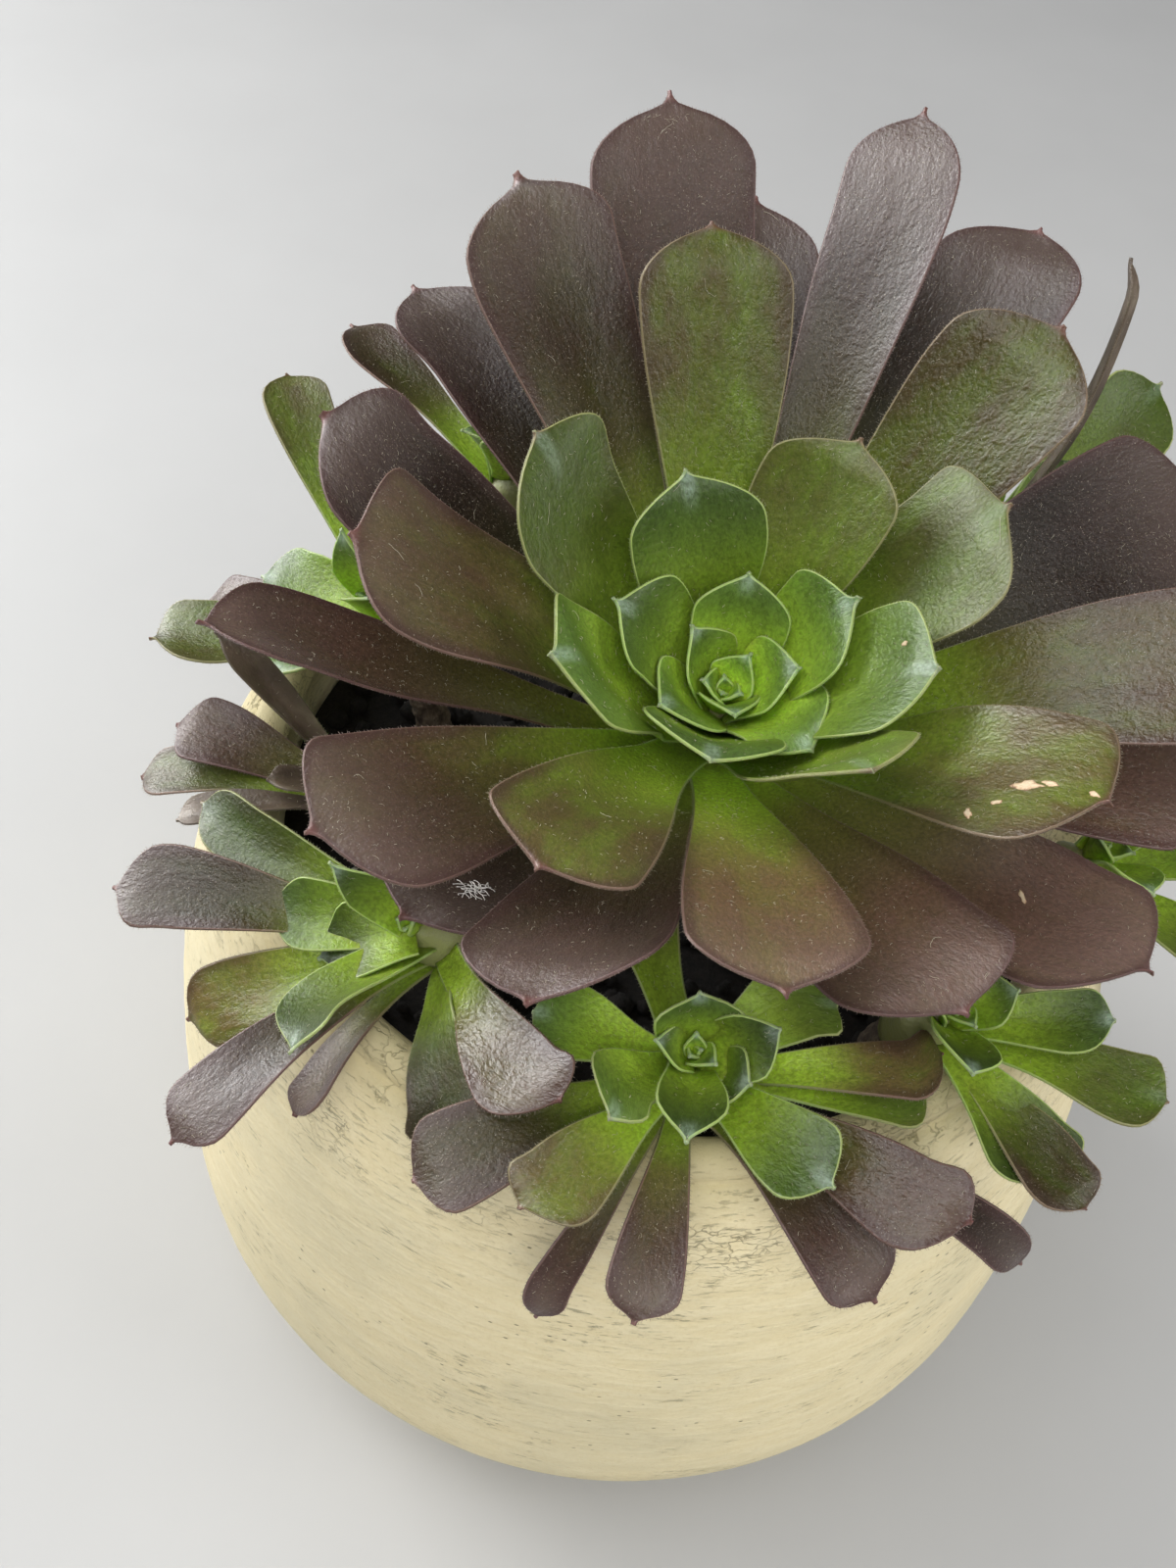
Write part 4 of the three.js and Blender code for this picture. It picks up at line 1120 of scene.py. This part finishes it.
# Colours from the dark to the light places of a grain, and from the inside to the rim of a scar.
DRY_STOPS = [(0.3, (0.07, 0.05, 0.035)), (0.55, (0.16, 0.12, 0.085)), (0.75, (0.3, 0.25, 0.19))]
BARK_STOPS = [(0.25, (0.05, 0.035, 0.025)), (0.5, (0.16, 0.115, 0.08)), (0.75, (0.3, 0.25, 0.19))]
LINT_STOPS = [(0.3, (0.36, 0.32, 0.23)), (0.7, (0.72, 0.67, 0.54))]
SOIL_STOPS = [(0.3, (0.006, 0.0045, 0.0035)), (0.75, (0.035, 0.026, 0.02))]
PERLITE_STOPS = [(0.3, (0.4, 0.37, 0.33)), (0.75, (0.75, 0.73, 0.7))]
FLOOR_STOPS = [(0.3, (0.47, 0.468, 0.463)), (0.7, (0.5, 0.498, 0.493))]
SCAR_STOPS = [(0.5, (0.74, 0.6, 0.42)), (0.85, (0.6, 0.42, 0.26)), (1.05, (0.22, 0.12, 0.07))]

# The coats on the leaves and on the pot.
# Two of the leaves' coats are painted light: light shining through the roots, and a highlight near the tips.
LEAF_TINTS = dict(
    young_end=(0.075, 0.13, 0.044), glow=(0.42, 0.58, 0.06), faded=(0.22, 0.165, 0.145),
    flush=(0.08, 0.04, 0.038), point=(0.22, 0.1, 0.09), bloom=(0.42, 0.52, 0.44), specks=(0.45, 0.39, 0.3),
    dots=(0.36, 0.3, 0.24), grains=(0.2, 0.16, 0.12),
)
POT_TINTS = dict(
    thick=(0.9, 0.8, 0.54), cloud=(0.74, 0.67, 0.46), grain=(0.68, 0.56, 0.3), worn=(0.36, 0.33, 0.2),
    pits=(0.3, 0.25, 0.15), cracks=(0.3, 0.25, 0.14), lip=(0.6, 0.52, 0.27),
)
LIMEWASH = (0.86, 0.75, 0.48)
FLUFF_WHITE = (0.9, 0.87, 0.83)
DRY_HAIR = (0.3, 0.25, 0.2)
SUBSURFACE_RADIUS = (0.6, 1.0, 0.25)

# Dots on the leaves: the cells for each millimetre, the dots' greatest and least radius, and which cells.
SPECKS = (0.9, (0.16, 0.07), (0.45, 0.55))
SMALL_DOTS = (1.7, (0.2, 0.09), (0.35, 0.5))


def leaf_look():
    look = Look("leaf")
    place = look.attribute("place", "Vector")
    ripeness, edge, reach, gloss, shade, dryness = map(
        look.attribute, ("ripeness", "edge_distance", "reach", "gloss", "shade", "dryness"))
    mottle = place.stretched(1, 0.45, 1).noise(0.13, 5, 0.6)
    fine = place.stretched(1, 0.75, 1).noise(1.3, 3, 0.65)
    ripe = ripeness + (mottle - 0.5) * ripeness.span(0.02, 0.35) + (fine - 0.5) * 0.2
    young = ripeness.span(0.4, 0.08)
    base = look.coated(
        ripe.ramp(LEAF_STOPS), LEAF_TINTS,
        young_end=reach.span(0.5, 0.95) * young * 0.8,
        # Painted light: a bright yellow-green at the roots of the leaves, most on green ones, for light
        # shining through.
        glow=reach.span(0.75, 0.25) * ripeness.span(0.6, 0.1, 0.15, 0.75),
    )
    texture = fine.span(0.25, 0.75, 0.72, 1.28) + mottle.span(0.3, 0.7, -0.15, 0.15)
    # The leaf's painted light and shading, with its own tone, scales its colour, less near the root.
    own_painted_light_and_tone = (shade - 1.0) * reach.span(0.25, 0.6, 0.35, 1) + 1.0
    near_middle = place.part(0).math("ABSOLUTE").span(2.4, 0.3)
    base = look.coated(
        base.vector("SCALE", {3: own_painted_light_and_tone * texture}),
        {**LEAF_TINTS, "rim": ripeness.ramp(EDGE_STOPS), "dry": mottle.ramp(DRY_STOPS)},
        faded=reach.span(0.68, 1) * ripeness.span(0.45, 0.9, 0, 0.45),
        flush=edge.span(3.5, 0.4) * ripeness.span(0.2, 0.7, 0, 0.6) * reach.span(0.4, 0.8, 0.3, 1),
        rim=edge.span(0.24, 0.06),
        point=reach.span(0.975, 0.995) * ripeness.span(0.05, 0.4, 0.2, 0.7),
        # A painted highlight: a pale streak down the middle near the tips of young leaves.
        bloom=reach.span(0.82, 0.97) * near_middle * (young * fine.span(0.3, 0.6, 0.2, 0.5)),
        specks=place.dots(*SPECKS) * place.noise(0.09, 2).span(0.35, 0.65, 0.15, 0.7)
        * ripeness.span(0.0, 0.6, 0.15, 1),
        dots=place.dots(*SMALL_DOTS) * ripeness.span(0.15, 0.6, 0, 0.75),
        grains=place.noise(2.6, 2, 0.7).span(0.56, 0.72) * ripeness.span(0.1, 0.5, 0.12, 0.55),
        dry=dryness,
    )
    wrinkle = place.stretched(1, 0.6, 1).noise(0.8, 2, 0.5, 0.2)
    height = fine * 0.3 + mottle * 0.8 + wrinkle * gloss.span(0.2, 1, 0.12, 0.26)
    roughness = place.noise(0.25, 3).span(0.2, 0.8, -0.05, 0.07) + gloss.span(0.2, 1, 0.35, 0.2)
    return look.finish(
        Base_Color=base, Roughness=roughness, Normal=height.bump(0.001, 0.7),
        Subsurface_Weight=ripeness.span(0.0, 0.5, 0.35, 0.06), Subsurface_Scale=0.002,
        Subsurface_Radius=SUBSURFACE_RADIUS,
    )


def hair_look():
    look = Look("hair")
    living = look.attribute("ripeness").ramp(HAIR_STOPS)
    return look.finish(Base_Color=look.blend(look.attribute("dryness"), living, DRY_HAIR), Roughness=0.6)


def scar_look():
    look = Look("scar")
    grain = look.place_mm().noise(1.4, 3, 0.6)
    rim = look.attribute("reach") + (grain - 0.5) * 0.9
    return look.finish(Base_Color=rim.ramp(SCAR_STOPS), Roughness=0.7, Normal=grain.bump(0.0004, 0.5))


def limewash_look():
    look = Look("limewash")
    place = look.place_mm()
    height = place.part(2)
    patches = place.stretched(1, 1, 2).noise(0.03, 4, 0.65)
    strokes = place.stretched(1, 1, 4).noise(0.08, 5, 0.65, 0.3)
    grain = place.noise(0.9, 4, 0.7)
    bareness = (patches.span(0.5, 0.62) + height.span(140, 172) * 0.6).math("MINIMUM", 1.0)
    worn = place.stretched(1, 1, 6).noise(0.22, 5, 0.7).span(0.56, 0.64) * bareness
    pits = place.stretched(1, 1, 1.8).cells(0.2).span(0.13, 0.06) * place.noise(0.03, 2).span(0.48, 0.58)
    drift = look.node("ShaderNodeTexNoise", {"Vector": place, "Scale": 0.3}, "Color").stretched(4, 4, 4)
    crazing = place.vector("ADD", {1: drift}).stretched(1, 1, 2.6).cells(0.22, feature="DISTANCE_TO_EDGE")
    cracks = crazing.span(0.05, 0.01) * (height.span(150, 172) * patches.span(0.5, 0.6))
    base = look.coated(
        LIMEWASH, POT_TINTS,
        thick=strokes.span(0.35, 0.65),
        cloud=place.noise(0.018, 4, 0.6).span(0.4, 0.7, 0, 0.7),
        grain=grain.span(0.45, 0.75, 0, 0.3),
        worn=worn * 0.6,
        pits=pits * 0.85,
        cracks=cracks * 0.5,
        lip=height.span(170, 183) * 0.4,
    )
    relief = strokes + grain * 0.25 - (pits + worn * 0.5) - cracks
    return look.finish(Base_Color=base, Roughness=0.82, Normal=relief.bump(0.0008, 0.6))


def grained_look(name, grain, stops, roughness, stretch=None, bump=None):
    """A dull look whose one grain tints it, and roughens it where a bump is given."""
    look = Look(name)
    place = look.place_mm()
    value = (place.stretched(*stretch) if stretch else place).noise(*grain)
    if bump:
        look.finish(Normal=value.bump(*bump))
    return look.finish(Base_Color=value.ramp(stops), Roughness=roughness)


# Camera, floor and light. The camera's place is in millimetres, and the floor and lights are in metres.

CAMERA_PLACE = (-18.12, -225.72, 463.68)
CAMERA_RIGHT = (0.99144, 0.10257, 0.08072)
CAMERA_UP = (-0.13053, 0.77913, 0.61312)
CAMERA_LENS = 36
CAMERA_SENSOR = 36
CAMERA_NEAREST = 0.01
FLOOR_SIZE = 4.0

# Each light: its place, the height that it points at, its size, watts and tint.
LIGHTS = dict(
    window=((-1.3, 0.65, 0.85), 0.2, (0.7, 1.0), 17, (1.0, 0.99, 0.97)),
    right=((1.3, -0.3, 0.9), 0.2, (0.8, 0.8), 7, (1, 1, 1)),
    front=((0.1, -1.1, 1.5), 0.15, (0.9, 0.9), 9, (1, 1, 1)),
    top=((-0.4, -0.25, 1.8), 0.2, (0.9, 0.9), 8, (1, 1, 1)),
    card=((-1.2, 0.5, 1.05), 0.2, (2.0, 2.0), 56, (0.93, 0.97, 1.0)),
)
WORLD_TINT = (0.95, 0.97, 1.0, 1)
WORLD_STRENGTH = 0.36
EXPOSURE = 0.2
GAMMA = 0.88


def make_camera():
    data = bpy.data.cameras.new("camera")
    data.lens = CAMERA_LENS
    data.sensor_width = CAMERA_SENSOR
    data.clip_start = CAMERA_NEAREST
    camera = placed("camera", data)
    right, up = Vector(CAMERA_RIGHT).normalized(), Vector(CAMERA_UP).normalized()
    back = right.cross(up).normalized()
    rotation = Matrix((right, back.cross(right), back)).transposed()
    camera.matrix_world = Matrix.Translation(Vector(CAMERA_PLACE) * MM) @ rotation.to_4x4()
    bpy.context.scene.camera = camera


def make_floor(looks):
    half = FLOOR_SIZE / 2
    corners = [(-half, -half, 0), (half, -half, 0), (half, half, 0), (-half, half, 0)]
    mesh = bpy.data.meshes.new("floor")
    mesh.from_pydata(corners, [], [(0, 1, 2, 3)])
    mesh.materials.append(looks["floor"])
    floor = placed("floor", mesh)


def make_light(name, place, aim, size, watts, tint):
    data = bpy.data.lights.new(name, "AREA")
    data.shape = "RECTANGLE"
    data.size, data.size_y = size
    data.energy = watts
    data.color = tint
    light = placed(name, data)
    light.location = place
    light.rotation_euler = (Vector((0, 0, aim)) - Vector(place)).to_track_quat("-Z", "Y").to_euler()
    return light


def make_world():
    world = bpy.data.worlds.new("studio")
    world.use_nodes = True
    background = world.node_tree.nodes["Background"]
    background.inputs["Color"].default_value = WORLD_TINT
    background.inputs["Strength"].default_value = WORLD_STRENGTH
    bpy.context.scene.world = world
    world.cycles_visibility.glossy = False


view = bpy.context.scene.view_settings
view.view_transform = "Standard"
view.exposure = EXPOSURE
view.gamma = GAMMA
make_camera()
make_world()
lights = {name: make_light(name, *light) for name, light in LIGHTS.items()}
# The card is seen only in reflections, and the world isn't seen in them.
lights["card"].visible_diffuse = False

fluff = Look("fluff")
looks = dict(
    leaf=leaf_look(),
    hair=hair_look(),
    scar=scar_look(),
    limewash=limewash_look(),
    fluff=fluff.finish(Base_Color=FLUFF_WHITE, Roughness=0.9),
    lint=grained_look("lint", (0.4,), LINT_STOPS, 0.6),
    bark=grained_look("bark", (0.5, 5, 0.65), BARK_STOPS, 0.85, stretch=(1, 1, 0.4), bump=(0.001, 0.8)),
    soil=grained_look("soil", (0.6, 6, 0.7), SOIL_STOPS, 0.95, bump=(0.0015, 0.9)),
    perlite=grained_look("perlite", (0.6, 6, 0.7), PERLITE_STOPS, 0.95, bump=(0.0015, 0.9)),
    floor=grained_look("floor", (0.006, 4), FLOOR_STOPS, 0.6),
)
make_floor(looks)
make_pot(looks)
make_soil(looks)
lint = Body()
for entry in ROSETTES:
    rosette = {**OFFSET_DEFAULTS, **entry}
    make_stem(rosette, looks)
    make_rosette(rosette, looks, lint)
lint.make("lint", [looks["lint"], looks["scar"], looks["fluff"]])
